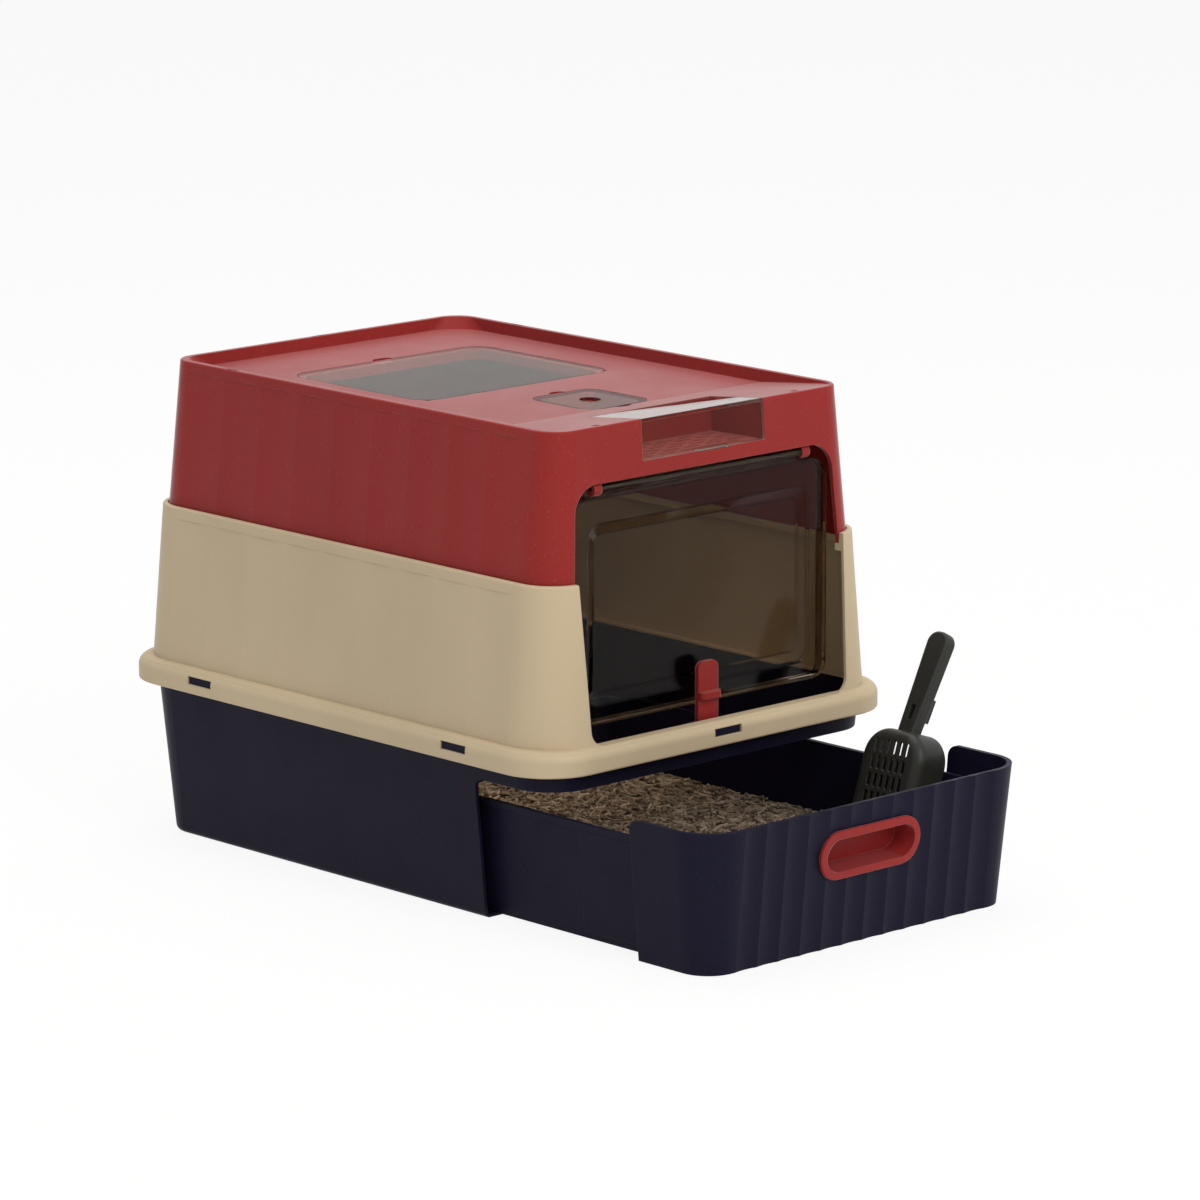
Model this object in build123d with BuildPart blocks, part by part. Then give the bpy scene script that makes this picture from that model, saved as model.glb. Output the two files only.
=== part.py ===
from build123d import *
from math import cos, radians, sin, sqrt
import os

# Enclosed litter box with a pull-out drawer. Millimetres, +Z up, +X to the right of someone
# facing the front, +Y to the back. The origin is on the floor at the centre of the base.
# The drawer is modelled pulled out to its stop, with the scoop standing in it.

# Allowances shared by all pieces
overrun = 2.0  # every cut runs this far past the face that it opens
clearance = 0.3  # between pieces that slide, lift or swing apart
swing_clearance = 0.7  # beside an edge that turns past its own pivot
pin_clearance = 0.06  # radial, between a pivot and what turns on it
fixed_clearance = 0.03  # radial, between the hinge rod and the lugs that hold it
merge = 0.6  # depth by which a rib, boss or tongue roots in its wall

# Base tub
base_half_width = 170.0
base_half_depth = 239.0
base_corner = 26.0
base_foot_edge = 5.0
base_lean_share = 0.0975
base_rim = 150.0
base_wall = 3.0
base_floor = 2.0
base_cut_length = 76.5  # from the front of the floor back to the drawer's mouth
base_cut_drop = 33.0  # from the rim down to the mouth's top edge
base_cut_corner = 9.0

# Clip tongues of the base and their slots in the skirt
clip_length = 28.0
clip_height = 5.0
clip_drop = 9.0
clip_setback = 83.0
clip_recess = 1.5  # from the skirt's face to the tongue's tip
slot_margin = 0.8

# Lower housing
skirt_side_overhang = 14.375  # outside the base's rim
skirt_end_overhang = 11.375
skirt_corner = 48.0
skirt_drop = 18.0  # below the base's rim
skirt_rise = 2.5
skirt_shoulder = 9.0
skirt_foot_edge = 2.0
skirt_wall = 3.0
housing_foot_rise = 5.5
housing_side_overhang = 4.075
housing_end_overhang = 3.375
housing_corner = 48.0
housing_lean_share = 0.0755
housing_height = 128.5  # from the skirt's top to the lip's
housing_wall = 3.0
ledge_thickness = 1.8
ledge_lap = 4.0
lip_height = 9.0
lip_wall = 5.6
lip_edge = 1.5
step_height = 6.0
step_width = 4.5

# Top cover
cover_height = 120.0  # from the housing's lip to the rim
cover_corner = 23.0
cover_side_lean_share = 0.097
cover_end_lean_share = 0.066
cover_wall = 3.5
rim_band = 8.0
rim_wall = 5.5
rim_edge = 1.6
pocket_draft = 1.5
pocket_corner = 34.0
deck_drop = 10.0
deck_thickness = 3.0
deck_slope_run = 90.0
rim_notch_length = 14.0
rim_notch_width = 2.2
rim_notch_depth = 1.2
rim_notch_place = 156.0
deck_hole_radius = 3.4
deck_hole_depth = 4.0
deck_hole_spread = 110.0
deck_hole_setback = 7.5

# Flutes of the side walls and of the drawer front
wall_flute_pitch = 46.0
wall_flute_depth = 0.6
drawer_flute_pitch = 23.3
drawer_flute_depth = 1.3

# Door opening, through both the housing and the cover
door_sill_drop = 0.5
door_head_drop = 45.0
door_sill_margin = 46.7
door_seam_margin = 27.2
door_head_margin = 20.2
door_sill_corner = 12.0
door_head_corner = 24.0

# Flap and its hinge
flap_inset = 2.0  # from the front of the cover's rim
flap_thickness = 3.0
flap_lap = 1.0
flap_rise = 9.0
flap_corner_low = 12.0
flap_corner_high = 20.0
panel_side_margin = 20.0
panel_top_margin = 22.0
panel_bottom_margin = 15.0
panel_depth = 4.0
panel_bevel = 9.5
panel_corner = 12.0
flange_depth = 8.0
flange_wall = 2.2
hinge_drop = 5.0
hinge_barrel_radius = 4.5
hinge_barrel_margin = 32.0
hinge_rod_radius = 2.0
hinge_lug_length = 8.0
hinge_lug_radius = 5.5

# Door latch and the guide that it slides in
latch_width = 22.0
latch_thickness = 4.2
latch_setback = 5.5  # from the flap's front face to the latch's rear face
latch_rise = 45.0
latch_corner = 6.5
latch_length = 53.0
latch_wing = 3.0
latch_wing_height = 3.0
latch_ledge_reach = 5.5
latch_ledge_rise = 15.0
latch_ledge_height = 5.5
latch_ledge_corner = 4.0
guide_wall = 2.4
guide_rise = 1.0  # over the top edge of the drawer's mouth
guide_head_drop = 2.0  # below the base's rim

# Skylight lid and its frame
skylight_side_margin = 55.7
skylight_front_gap = 45.5  # to the deodoriser lid
skylight_rear_margin = 86.0
skylight_corner = 20.0
skylight_thickness = 3.2
skylight_ledge = 6.0
skylight_frame_depth = 12.0
skylight_frame_wall = 6.0
skylight_axis_setback = 3.5
skylight_pivot_radius = 1.1
skylight_pivot_reach = 4.0
skylight_notch_length = 22.0
skylight_notch_width = 7.0

# Deodoriser lid and the cup below it
cup_front_gap = 32.5  # to the vent hatch
cup_lid_width = 72.0
cup_lid_depth = 76.0
cup_lid_corner = 15.0
cup_lid_thickness = 2.5
cup_finger_radius = 8.5
cup_flange = 1.5
cup_flange_width = 5.0
cup_wall = 2.0
cup_depth = 24.0
cup_frame_depth = 8.0
cup_frame_wall = 3.0
cup_slot_length = 36.0
cup_slot_width = 3.0
cup_slot_pitch = 8.0
cup_slot_count = 5
cup_notch_length = 16.0
cup_notch_width = 6.0

# Vent hatch and the slotted basket below it
hatch_half_width = 67.5
hatch_length = 58.4
hatch_sill_gap = 0.1
hatch_thickness = 3.0
hatch_axis_setback = 3.0
hatch_pivot_radius = 1.0
hatch_pivot_reach = 2.4
hatch_lip_half = 17.0
hatch_lip_place = 6.0
hatch_lip_reach = 4.5
hatch_lip_height = 2.2
vent_drop = 33.4
vent_wall = 3.0
vent_floor_wall = 2.5
grille_slot_length = 18.0
grille_slot_width = 3.0
grille_slot_pitch = 24.0
grille_row_pitch = 8.0
grille_row_count = 6
grille_row_slots = 5

# Drawer: front shell, handle, tray and litter
drawer_pull = 176.0
drawer_top_gap = 1.0
drawer_foot = 0.5
drawer_wall = 4.2
drawer_joint = 0.5  # between the shell's returns and the base
cheek_length = 73.0
cheek_wall = 1.5
cheek_low = 8.0
cheek_web = 3.0
handle_length = 111.0
handle_height = 40.0
handle_ring = 6.5
handle_proud = 2.5
handle_edge = 1.2
handle_wall = 2.0
handle_depth = 20.0
handle_drop = 39.0
tray_side_gap = 13.0
tray_rear_gap = 10.0
tray_corner = 14.0
tray_lean_share = 0.0745
tray_foot = 2.3
tray_drop = 19.0
tray_wall = 2.5
tray_rim_band = 5.0
tray_rim_reach = 2.0
litter_drop = 56.0
litter_furrow_pitch = 39.0
litter_furrow_depth = 2.6

# Scoop, in its own length, width and depth
scoop_lean = 18.0  # degrees of the blade from upright, towards the drawer's right wall
scoop_crank = 10.0  # degrees that the handle leans further
scoop_setback = 99.0
scoop_width = 66.0
scoop_blade = 84.0
scoop_shoulder = 24.0
scoop_depth = 32.0
scoop_edge = 9.0
scoop_wall = 2.4
scoop_handle_length = 92.0
scoop_handle_low_width = 17.0
scoop_handle_top_width = 23.0
scoop_handle_thickness = 12.0
scoop_handle_root = 6.0
scoop_handle_edge = 2.5
scoop_handle_end = 10.0
scoop_slot_length = 11.5
scoop_slot_width = 3.4
scoop_slot_pitch = 6.7
scoop_row_pitch = 14.5
scoop_row_slots = 6
scoop_row_count = 5
scoop_row_place = 40.0
scoop_eye_length = 14.0
scoop_eye_width = 5.0
scoop_eye_place = 22.0
scoop_hook_place = 28.0
scoop_hook_length = 20.0
scoop_hook_width = 8.0
scoop_hook_gap = 3.5
scoop_hook_wall = 4.0


# Levels and places that follow from those sizes
base_rim_spread = base_lean_share * base_rim
base_cut_back = base_half_depth - base_cut_length
base_cut_top = base_rim - base_cut_drop
clip_low = base_rim - clip_drop
clip_spread = base_half_depth - clip_setback
skirt_half_width = base_half_width + base_rim_spread + skirt_side_overhang
skirt_half_depth = base_half_depth + base_rim_spread + skirt_end_overhang
skirt_bottom = base_rim - skirt_drop
skirt_top = base_rim + skirt_rise
housing_foot = skirt_top + housing_foot_rise
housing_half_width = base_half_width + base_rim_spread + housing_side_overhang
housing_half_depth = base_half_depth + base_rim_spread + housing_end_overhang
housing_top = skirt_top + housing_height
step_top = housing_top - lip_height
step_spread = housing_lean_share * (step_top - housing_foot) + lip_wall + clearance
cover_foot = step_top + clearance
cover_rim = housing_top + cover_height
cover_half_width = housing_half_width - step_spread - cover_side_lean_share * (cover_rim - cover_foot)
cover_half_depth = housing_half_depth - step_spread - cover_end_lean_share * (cover_rim - cover_foot)
drawer_top = base_cut_top - drawer_top_gap
handle_level = drawer_top - handle_drop
tray_half_width = base_half_width - tray_side_gap
tray_rear = base_half_depth - tray_rear_gap
tray_rim = drawer_top - tray_drop
litter_level = tray_rim - litter_drop


# Shared outlines

def rounded_section(height, half_width, half_depth, corner, centre=0.0):
    """Rounded rectangle at a height, centred on the Z axis or at a place along Y."""
    with BuildSketch(Plane((0, centre, height))) as section:
        RectangleRounded(2 * half_width, 2 * half_depth, corner)
    return section.sketch


def flute_count(half_length, corner, pitch):
    """Number of flutes that fit on the straight stretch of one side."""
    return int(2 * (half_length - corner) // pitch)


def fluted_section(height, half_width, half_depth, corner, depth, flutes, centre=0.0):
    """Rounded rectangle whose straight sides carry shallow concave flutes.

    flutes holds a pitch and a count for the front, right, rear and left sides in turn.
    A count of zero leaves that side plain.
    """
    signs = [(-1, -1), (1, -1), (1, 1), (-1, 1)]
    corners = [Vector(side * half_width, end * half_depth) for side, end in signs]
    runs = [Vector(1, 0), Vector(0, 1), Vector(-1, 0), Vector(0, -1)]
    with BuildSketch(Plane((0, centre, height))) as section:
        with BuildLine():
            for number, run in enumerate(runs):
                turn = runs[(number + 1) % len(runs)]
                apex = corners[(number + 1) % len(corners)]
                start = corners[number] + run * corner
                end = apex - run * corner
                pitch, count = flutes[number]
                first = (start + end) / 2 - run * (pitch * count / 2)
                ridges = [first + run * (pitch * place) for place in range(count + 1)] if count else [end]
                Line(start, ridges[0])
                for left, right in zip(ridges, ridges[1:]):
                    ThreePointArc(left, (left + right) / 2 + turn * depth, right)
                if count:
                    Line(ridges[-1], end)
                bend = end + turn * corner + (run - turn).normalized() * corner
                ThreePointArc(end, bend, apex + turn * corner)
        make_face()
    return section.sketch


def base_section(height, inset, centre=0.0):
    """Outline of the leaning walls of the base, and of the drawer that continues them."""
    spread = base_lean_share * height - inset
    return rounded_section(
        height, base_half_width + spread, base_half_depth + spread, base_corner + spread, centre)


def drawer_section(height):
    """Outline of the drawer's outer face, with its fluted front."""
    spread = base_lean_share * height
    front = (drawer_flute_pitch, flute_count(base_half_width, base_corner, drawer_flute_pitch))
    plain = (drawer_flute_pitch, 0)
    return fluted_section(
        height, base_half_width + spread, base_half_depth + spread, base_corner + spread,
        drawer_flute_depth, [front, plain, plain, plain], -drawer_pull,
    )


def tray_section(height, inset, reach=0.0):
    """Outline of the litter tray at a height: its front follows the drawer's front shell.

    reach widens the sides and the rear, and leaves the front where it is.
    """
    spread = tray_lean_share * height - inset + reach
    front = base_half_depth - drawer_wall - clearance + base_lean_share * height - inset
    rear = tray_rear + spread
    return rounded_section(
        height, tray_half_width + spread, (front + rear) / 2, tray_corner + spread,
        (rear - front) / 2 - drawer_pull,
    )


def wall_flutes(half_width, half_depth, corner):
    """Flutes of a wall that is plain in front and fluted on the sides and rear."""
    side = (wall_flute_pitch, flute_count(half_depth, corner, wall_flute_pitch))
    rear = (wall_flute_pitch, flute_count(half_width, corner, wall_flute_pitch))
    return [(wall_flute_pitch, 0), side, rear, side]


def housing_half(height):
    """Half width, half depth and corner radius of the housing's outer face at a height."""
    spread = -housing_lean_share * (height - housing_foot)
    return housing_half_width + spread, housing_half_depth + spread, housing_corner + spread


def housing_section(height, inset):
    """Plain outline of the housing wall at a height."""
    half_width, half_depth, corner = housing_half(height)
    return rounded_section(height, half_width - inset, half_depth - inset, corner - inset)


def housing_fluted(height):
    """Outline of the housing's outer face."""
    flutes = wall_flutes(housing_half_width, housing_half_depth, housing_corner)
    return fluted_section(height, *housing_half(height), wall_flute_depth, flutes)


def cover_half(height):
    """Half width, half depth and corner radius of the cover's outer face at a height."""
    below = cover_rim - height
    return (
        cover_half_width + cover_side_lean_share * below,
        cover_half_depth + cover_end_lean_share * below,
        cover_corner + cover_end_lean_share * below,
    )


def cover_section(height, inset):
    """Plain outline of the cover wall at a height."""
    half_width, half_depth, corner = cover_half(height)
    return rounded_section(height, half_width - inset, half_depth - inset, corner - inset)


def cover_fluted(height):
    """Outline of the cover's outer face."""
    flutes = wall_flutes(cover_half_width, cover_half_depth, cover_corner)
    return fluted_section(height, *cover_half(height), wall_flute_depth, flutes)


# Levels and places that several pieces share
ledge_top = base_rim + ledge_thickness
deck_level = cover_rim - deck_drop
slope_front = cover_half_depth - rim_edge
slope_rear = slope_front - deck_slope_run
foot_half_width, foot_half_depth, foot_corner = cover_half(cover_foot)
door_sill = skirt_top - door_sill_drop
door_head = cover_rim - door_head_drop
door_half_width_sill = housing_half_width - door_sill_margin
door_half_width_seam = foot_half_width - door_seam_margin
door_half_width_head = cover_half_width - door_head_margin
flap_face = cover_half_depth - flap_inset
flap_half_width = door_half_width_sill + flap_lap
flap_low = door_sill + flap_rise
hinge_height = door_head - hinge_drop
hinge_barrel_half = flap_half_width - hinge_barrel_margin
hinge_axis = -flap_face + flap_thickness / 2
lug_low = hinge_barrel_half + clearance
latch_rear = -flap_face - latch_setback
latch_front = latch_rear - latch_thickness
latch_top = door_sill + latch_rise
latch_ledge_low = door_sill + latch_ledge_rise
guide_low = base_cut_top + guide_rise
guide_top = base_rim - guide_head_drop
wing_half = latch_width / 2 + latch_wing
vent_floor = cover_rim - vent_drop
hatch_low = vent_floor + hatch_sill_gap
hatch_rear = slope_front - hatch_length
cup_centre = cup_front_gap + cup_lid_depth / 2 - hatch_rear
skylight_half_width = cover_half_width - skylight_side_margin
skylight_front = cup_centre + cup_lid_depth / 2 + skylight_front_gap
skylight_rear = cover_half_depth - skylight_rear_margin
skylight_centre = (skylight_front + skylight_rear) / 2
skylight_half_depth = (skylight_rear - skylight_front) / 2
skylight_axis = skylight_front + skylight_axis_setback
skylight_low = deck_level - skylight_thickness
skylight_axis_height = deck_level - skylight_thickness / 2
skylight_seat = skylight_low - clearance
pivot_half = skylight_half_width + skylight_pivot_reach
cup_lid_low = deck_level - cup_lid_thickness
cup_seat = cup_lid_low - cup_flange
tray_floor = tray_foot + tray_wall


def deck_height(setback):
    """Height of the deck's top at a distance in front of the centre."""
    return deck_level + deck_drop / deck_slope_run * max(setback - slope_rear, 0)


def front_wall(height):
    """Distance of the cover's front face from the centre at a height."""
    return cover_half(height)[1]


hatch_axis = -hatch_rear - hatch_axis_setback
hatch_axis_height = deck_height(-hatch_axis) - hatch_thickness / 2
vent_rear = hatch_rear - swing_clearance

# Base tub
clip_middle = clip_low + clip_height / 2
clip_root_width = base_half_width + base_lean_share * clip_low - merge
clip_root_depth = base_half_depth + base_lean_share * clip_low - merge
clip_tip_width = skirt_half_width - clip_recess
clip_tip_depth = skirt_half_depth - clip_recess
guide_half = wing_half + clearance + guide_wall
guide_rear = latch_rear + clearance + guide_wall
guide_root = merge - base_half_depth - base_lean_share * guide_low

with BuildPart() as base_tub:
    loft([base_section(0, 0), base_section(base_rim, 0)], ruled=True)
    fillet(base_tub.faces().sort_by(Axis.Z)[0].edges(), base_foot_edge)
    loft(
        [base_section(base_floor, base_wall), base_section(base_rim + overrun, base_wall)],
        ruled=True, mode=Mode.SUBTRACT,
    )
    with BuildSketch(Plane.YZ) as drawer_mouth:
        with Locations((-base_cut_back, base_cut_top)):
            Rectangle(base_half_depth, base_cut_top + overrun, align=(Align.MAX, Align.MAX))
        fillet(drawer_mouth.vertices().group_by(Axis.X)[-1].sort_by(Axis.Y)[-1], base_cut_corner)
    extrude(amount=skirt_half_width, both=True, mode=Mode.SUBTRACT)
    for side in (-1, 1):
        with Locations(
            (side * (clip_root_width + clip_tip_width) / 2, clip_spread, clip_middle),
            (side * (clip_root_width + clip_tip_width) / 2, -clip_spread, clip_middle),
        ):
            Box(clip_tip_width - clip_root_width, clip_length, clip_height)
        with Locations((0, side * (clip_root_depth + clip_tip_depth) / 2, clip_middle)):
            Box(clip_length, clip_tip_depth - clip_root_depth, clip_height)
    # Guide for the latch, rooted in the wall above the drawer's mouth
    with BuildSketch(Plane.XY.offset(guide_low)):
        with Locations((0, guide_root)):
            Rectangle(2 * guide_half, guide_rear - guide_root, align=(Align.CENTER, Align.MIN))
    extrude(amount=guide_top - guide_low)
    with BuildSketch(Plane.XY.offset(guide_low - overrun)):
        with Locations((0, latch_rear + clearance)):
            Rectangle(
                2 * (wing_half + clearance), latch_thickness + 2 * clearance, align=(Align.CENTER, Align.MAX))
        with Locations((0, latch_rear)):
            Rectangle(
                latch_width + 2 * clearance, latch_thickness + latch_ledge_reach + 2 * clearance,
                align=(Align.CENTER, Align.MAX),
            )
    extrude(amount=guide_top - guide_low + 2 * overrun, mode=Mode.SUBTRACT)

# Lower housing
ledge_half_width = base_half_width + base_lean_share * base_rim - ledge_lap
ledge_half_depth = base_half_depth + base_lean_share * base_rim - ledge_lap
ledge_corner = base_corner + base_rim_spread - ledge_lap
rebate_half_width = foot_half_width + clearance
rebate_half_depth = foot_half_depth + clearance
rebate_corner = foot_corner + clearance
slot_length = clip_length + 2 * slot_margin
slot_height = clip_height + 2 * slot_margin
with BuildPart() as lower_housing:
    with BuildSketch(Plane.XY.offset(skirt_bottom)):
        RectangleRounded(2 * skirt_half_width, 2 * skirt_half_depth, skirt_corner)
    extrude(amount=skirt_top - skirt_bottom)
    fillet(lower_housing.faces().sort_by(Axis.Z)[-1].edges(), skirt_shoulder)
    fillet(lower_housing.faces().sort_by(Axis.Z)[0].edges(), skirt_foot_edge)
    loft([housing_fluted(base_rim), housing_fluted(step_top)], ruled=True)
    loft([housing_section(step_top, 0), housing_section(housing_top, 0)], ruled=True)
    fillet(lower_housing.faces().sort_by(Axis.Z)[-1].edges(), lip_edge)
    # Channel under the skirt, and the ledge that sits on the base's rim
    with BuildSketch(Plane.XY.offset(skirt_bottom - overrun)):
        RectangleRounded(
            2 * (skirt_half_width - skirt_wall), 2 * (skirt_half_depth - skirt_wall), skirt_corner - skirt_wall)
    extrude(amount=base_rim - skirt_bottom + overrun, mode=Mode.SUBTRACT)
    with BuildSketch(Plane.XY.offset(base_rim - overrun)):
        RectangleRounded(2 * ledge_half_width, 2 * ledge_half_depth, ledge_corner)
    extrude(amount=ledge_thickness + 2 * overrun, mode=Mode.SUBTRACT)
    # Inside, the step that carries the cover and the rebate round its foot
    loft(
        [housing_section(ledge_top, housing_wall), housing_section(step_top - step_height, housing_wall)],
        ruled=True, mode=Mode.SUBTRACT,
    )
    with BuildSketch(Plane.XY.offset(step_top - step_height - overrun)):
        RectangleRounded(
            2 * (rebate_half_width - step_width), 2 * (rebate_half_depth - step_width),
            rebate_corner - step_width,
        )
    extrude(amount=step_height + 2 * overrun, mode=Mode.SUBTRACT)
    with BuildSketch(Plane.XY.offset(step_top)):
        RectangleRounded(2 * rebate_half_width, 2 * rebate_half_depth, rebate_corner)
    extrude(amount=lip_height + overrun, mode=Mode.SUBTRACT)
    # Lower part of the door opening
    with BuildSketch(Plane.XZ) as door_low:
        with BuildLine():
            Polyline(
                (-door_half_width_sill, door_sill), (door_half_width_sill, door_sill),
                (door_half_width_seam, housing_top + overrun), (-door_half_width_seam, housing_top + overrun),
                close=True,
            )
        make_face()
        fillet(door_low.vertices().group_by(Axis.Y)[0], door_sill_corner)
    extrude(amount=skirt_half_depth, mode=Mode.SUBTRACT)
    # Slots for the base's clip tongues
    for side in (-1, 1):
        with Locations(
            (side * skirt_half_width, clip_spread, clip_middle),
            (side * skirt_half_width, -clip_spread, clip_middle),
        ):
            Box(2 * skirt_shoulder, slot_length, slot_height, mode=Mode.SUBTRACT)
        with Locations((0, side * skirt_half_depth, clip_middle)):
            Box(slot_length, 2 * skirt_shoulder, slot_height, mode=Mode.SUBTRACT)

# Space under the deck and space above it, as two cutting shapes for the cover
inner_top = cover_rim - deck_thickness
pocket_rear = cover_half_depth - rim_wall
pocket_front = slope_front + overrun
pocket_half_width = cover_half_width - rim_wall
pocket_half_depth = (pocket_rear + pocket_front) / 2
pocket_centre = (pocket_rear - pocket_front) / 2

with BuildPart() as cover_space:
    loft([cover_section(cover_foot - overrun, cover_wall), cover_section(inner_top, cover_wall)], ruled=True)
    with BuildSketch(Plane.YZ):
        with BuildLine():
            Polyline(
                (-slope_front, inner_top), (-slope_rear, deck_level - deck_thickness),
                (cover_half_depth, deck_level - deck_thickness), (cover_half_depth, cover_rim),
                (-cover_half_depth, cover_rim), (-cover_half_depth, inner_top), close=True,
            )
        make_face()
    extrude(amount=cover_half_width + overrun, both=True, mode=Mode.SUBTRACT)

with BuildPart() as deck_pocket:
    loft(
        [
            rounded_section(
                deck_level, pocket_half_width - pocket_draft, pocket_half_depth - pocket_draft, pocket_corner,
                pocket_centre,
            ),
            rounded_section(
                cover_rim + overrun, pocket_half_width, pocket_half_depth, cover_corner - rim_wall, pocket_centre),
        ],
        ruled=True,
    )
    with BuildSketch(Plane.YZ):
        with BuildLine():
            Polyline(
                (-slope_rear, deck_level), (-slope_front, cover_rim), (-cover_half_depth, cover_rim),
                (-cover_half_depth, deck_level), close=True,
            )
        make_face()
    extrude(amount=cover_half_width, both=True, mode=Mode.SUBTRACT)

# Top cover
frame_half_width = skylight_half_width + skylight_frame_wall
frame_half_depth = skylight_half_depth + skylight_frame_wall
relief_depth = skylight_axis_setback + skylight_thickness
pivot_lead = skylight_axis_setback + skylight_thickness / 2 + clearance
pivot_bend = sqrt(skylight_corner**2 - (skylight_corner - pivot_lead)**2)
pivot_relief = skylight_half_width - skylight_corner + pivot_bend + swing_clearance
pivot_sweep = skylight_thickness / 2 + swing_clearance
lug_rear = hinge_axis + hinge_lug_radius
lug_front = cover_wall - front_wall(vent_floor) - merge

with BuildPart() as top_cover:
    loft([cover_fluted(cover_foot), cover_fluted(cover_rim - rim_band)], ruled=True)
    loft([cover_section(cover_rim - rim_band, 0), cover_section(cover_rim, 0)], ruled=True)
    fillet(top_cover.faces().sort_by(Axis.Z)[-1].edges(), rim_edge)
    add(cover_space.part, mode=Mode.SUBTRACT)
    add(deck_pocket.part, mode=Mode.SUBTRACT)
    # Upper part of the door opening
    with BuildSketch(Plane.XZ) as door_high:
        with BuildLine():
            Polyline(
                (-door_half_width_seam, cover_foot - overrun), (door_half_width_seam, cover_foot - overrun),
                (door_half_width_head, door_head), (-door_half_width_head, door_head), close=True,
            )
        make_face()
        fillet(door_high.vertices().group_by(Axis.Y)[-1], door_head_corner)
    extrude(amount=skirt_half_depth, mode=Mode.SUBTRACT)
    # Skylight: frame, seat, through opening, relief at the pivots, finger notch, pivot holes
    with BuildSketch(Plane((0, skylight_centre, deck_level - skylight_frame_depth))):
        RectangleRounded(2 * frame_half_width, 2 * frame_half_depth, skylight_corner + skylight_frame_wall)
    extrude(amount=skylight_frame_depth - merge)
    with BuildSketch(Plane((0, skylight_centre, skylight_seat))):
        RectangleRounded(
            2 * (skylight_half_width + clearance), 2 * (skylight_half_depth + swing_clearance),
            skylight_corner + clearance,
        )
    extrude(amount=skylight_thickness + overrun, mode=Mode.SUBTRACT)
    with BuildSketch(Plane((0, skylight_centre, deck_level - skylight_frame_depth - overrun))):
        RectangleRounded(
            2 * (skylight_half_width - skylight_ledge), 2 * (skylight_half_depth - skylight_ledge),
            skylight_corner - skylight_ledge,
        )
    extrude(amount=skylight_frame_depth + overrun, mode=Mode.SUBTRACT)
    with BuildSketch(Plane((0, skylight_front, deck_level - skylight_frame_depth - overrun))):
        with Locations((0, skylight_half_depth)):
            RectangleRounded(
                2 * (skylight_half_width + clearance), 2 * (skylight_half_depth + swing_clearance),
                skylight_corner + clearance,
            )
        Rectangle(2 * frame_half_width, 2 * relief_depth, mode=Mode.INTERSECT)
        with Locations((0, skylight_axis_setback)):
            Rectangle(2 * pivot_relief, 2 * pivot_sweep)
    extrude(amount=skylight_frame_depth + overrun, mode=Mode.SUBTRACT)
    with BuildSketch(Plane((0, skylight_rear, skylight_seat))):
        SlotOverall(skylight_notch_length, 2 * skylight_notch_width)
    extrude(amount=skylight_thickness + overrun, mode=Mode.SUBTRACT)
    with BuildSketch(Plane.YZ):
        with Locations((skylight_axis, skylight_axis_height)):
            Circle(skylight_pivot_radius + pin_clearance)
    extrude(amount=pivot_half, both=True, mode=Mode.SUBTRACT)
    # Deodoriser: frame, seat, finger notches, through opening
    with BuildSketch(Plane((0, cup_centre, deck_level - cup_frame_depth))):
        RectangleRounded(
            cup_lid_width + 2 * cup_frame_wall, cup_lid_depth + 2 * cup_frame_wall,
            cup_lid_corner + cup_frame_wall,
        )
    extrude(amount=cup_frame_depth - merge)
    with BuildSketch(Plane((0, cup_centre, cup_seat))):
        RectangleRounded(
            cup_lid_width + 2 * clearance, cup_lid_depth + 2 * clearance, cup_lid_corner + clearance)
    extrude(amount=deck_level - cup_seat + overrun, mode=Mode.SUBTRACT)
    with BuildSketch(Plane((0, cup_centre, cup_lid_low))):
        with Locations((0, cup_lid_depth / 2), (0, -cup_lid_depth / 2)):
            SlotOverall(cup_notch_length, 2 * cup_notch_width)
    extrude(amount=cup_lid_thickness + overrun, mode=Mode.SUBTRACT)
    with BuildSketch(Plane((0, cup_centre, deck_level - cup_frame_depth - overrun))):
        RectangleRounded(
            cup_lid_width - 2 * cup_flange_width + 2 * clearance,
            cup_lid_depth - 2 * cup_flange_width + 2 * clearance, cup_lid_corner - cup_flange_width + clearance,
        )
    extrude(amount=cup_frame_depth + overrun, mode=Mode.SUBTRACT)
    # Opening for the vent hatch in the deck and the front wall, with its pivot holes
    with BuildSketch(Plane((0, -vent_rear, hatch_low))):
        Rectangle(2 * hatch_half_width, cover_half_depth, align=(Align.CENTER, Align.MAX))
    extrude(amount=cover_rim - hatch_low + overrun, mode=Mode.SUBTRACT)
    with BuildSketch(Plane.YZ):
        with Locations((hatch_axis, hatch_axis_height)):
            Circle(hatch_pivot_radius + pin_clearance)
    extrude(amount=hatch_half_width + hatch_pivot_reach + pin_clearance, both=True, mode=Mode.SUBTRACT)
    # Lugs that hold the flap's rod
    for side in (-1, 1):
        with BuildSketch(Plane.YZ.offset(side * (lug_low + hinge_lug_length / 2))):
            with Locations((hinge_axis, hinge_height)):
                Circle(hinge_lug_radius)
            with Locations((lug_rear, hinge_height)):
                Rectangle(lug_rear - lug_front, vent_floor - hinge_height, align=(Align.MAX, Align.MIN))
        extrude(amount=hinge_lug_length / 2, both=True)
    with BuildSketch(Plane.YZ):
        with Locations((hinge_axis, hinge_height)):
            Circle(hinge_rod_radius + fixed_clearance)
    extrude(amount=lug_low + hinge_lug_length + overrun, both=True, mode=Mode.SUBTRACT)
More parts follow.
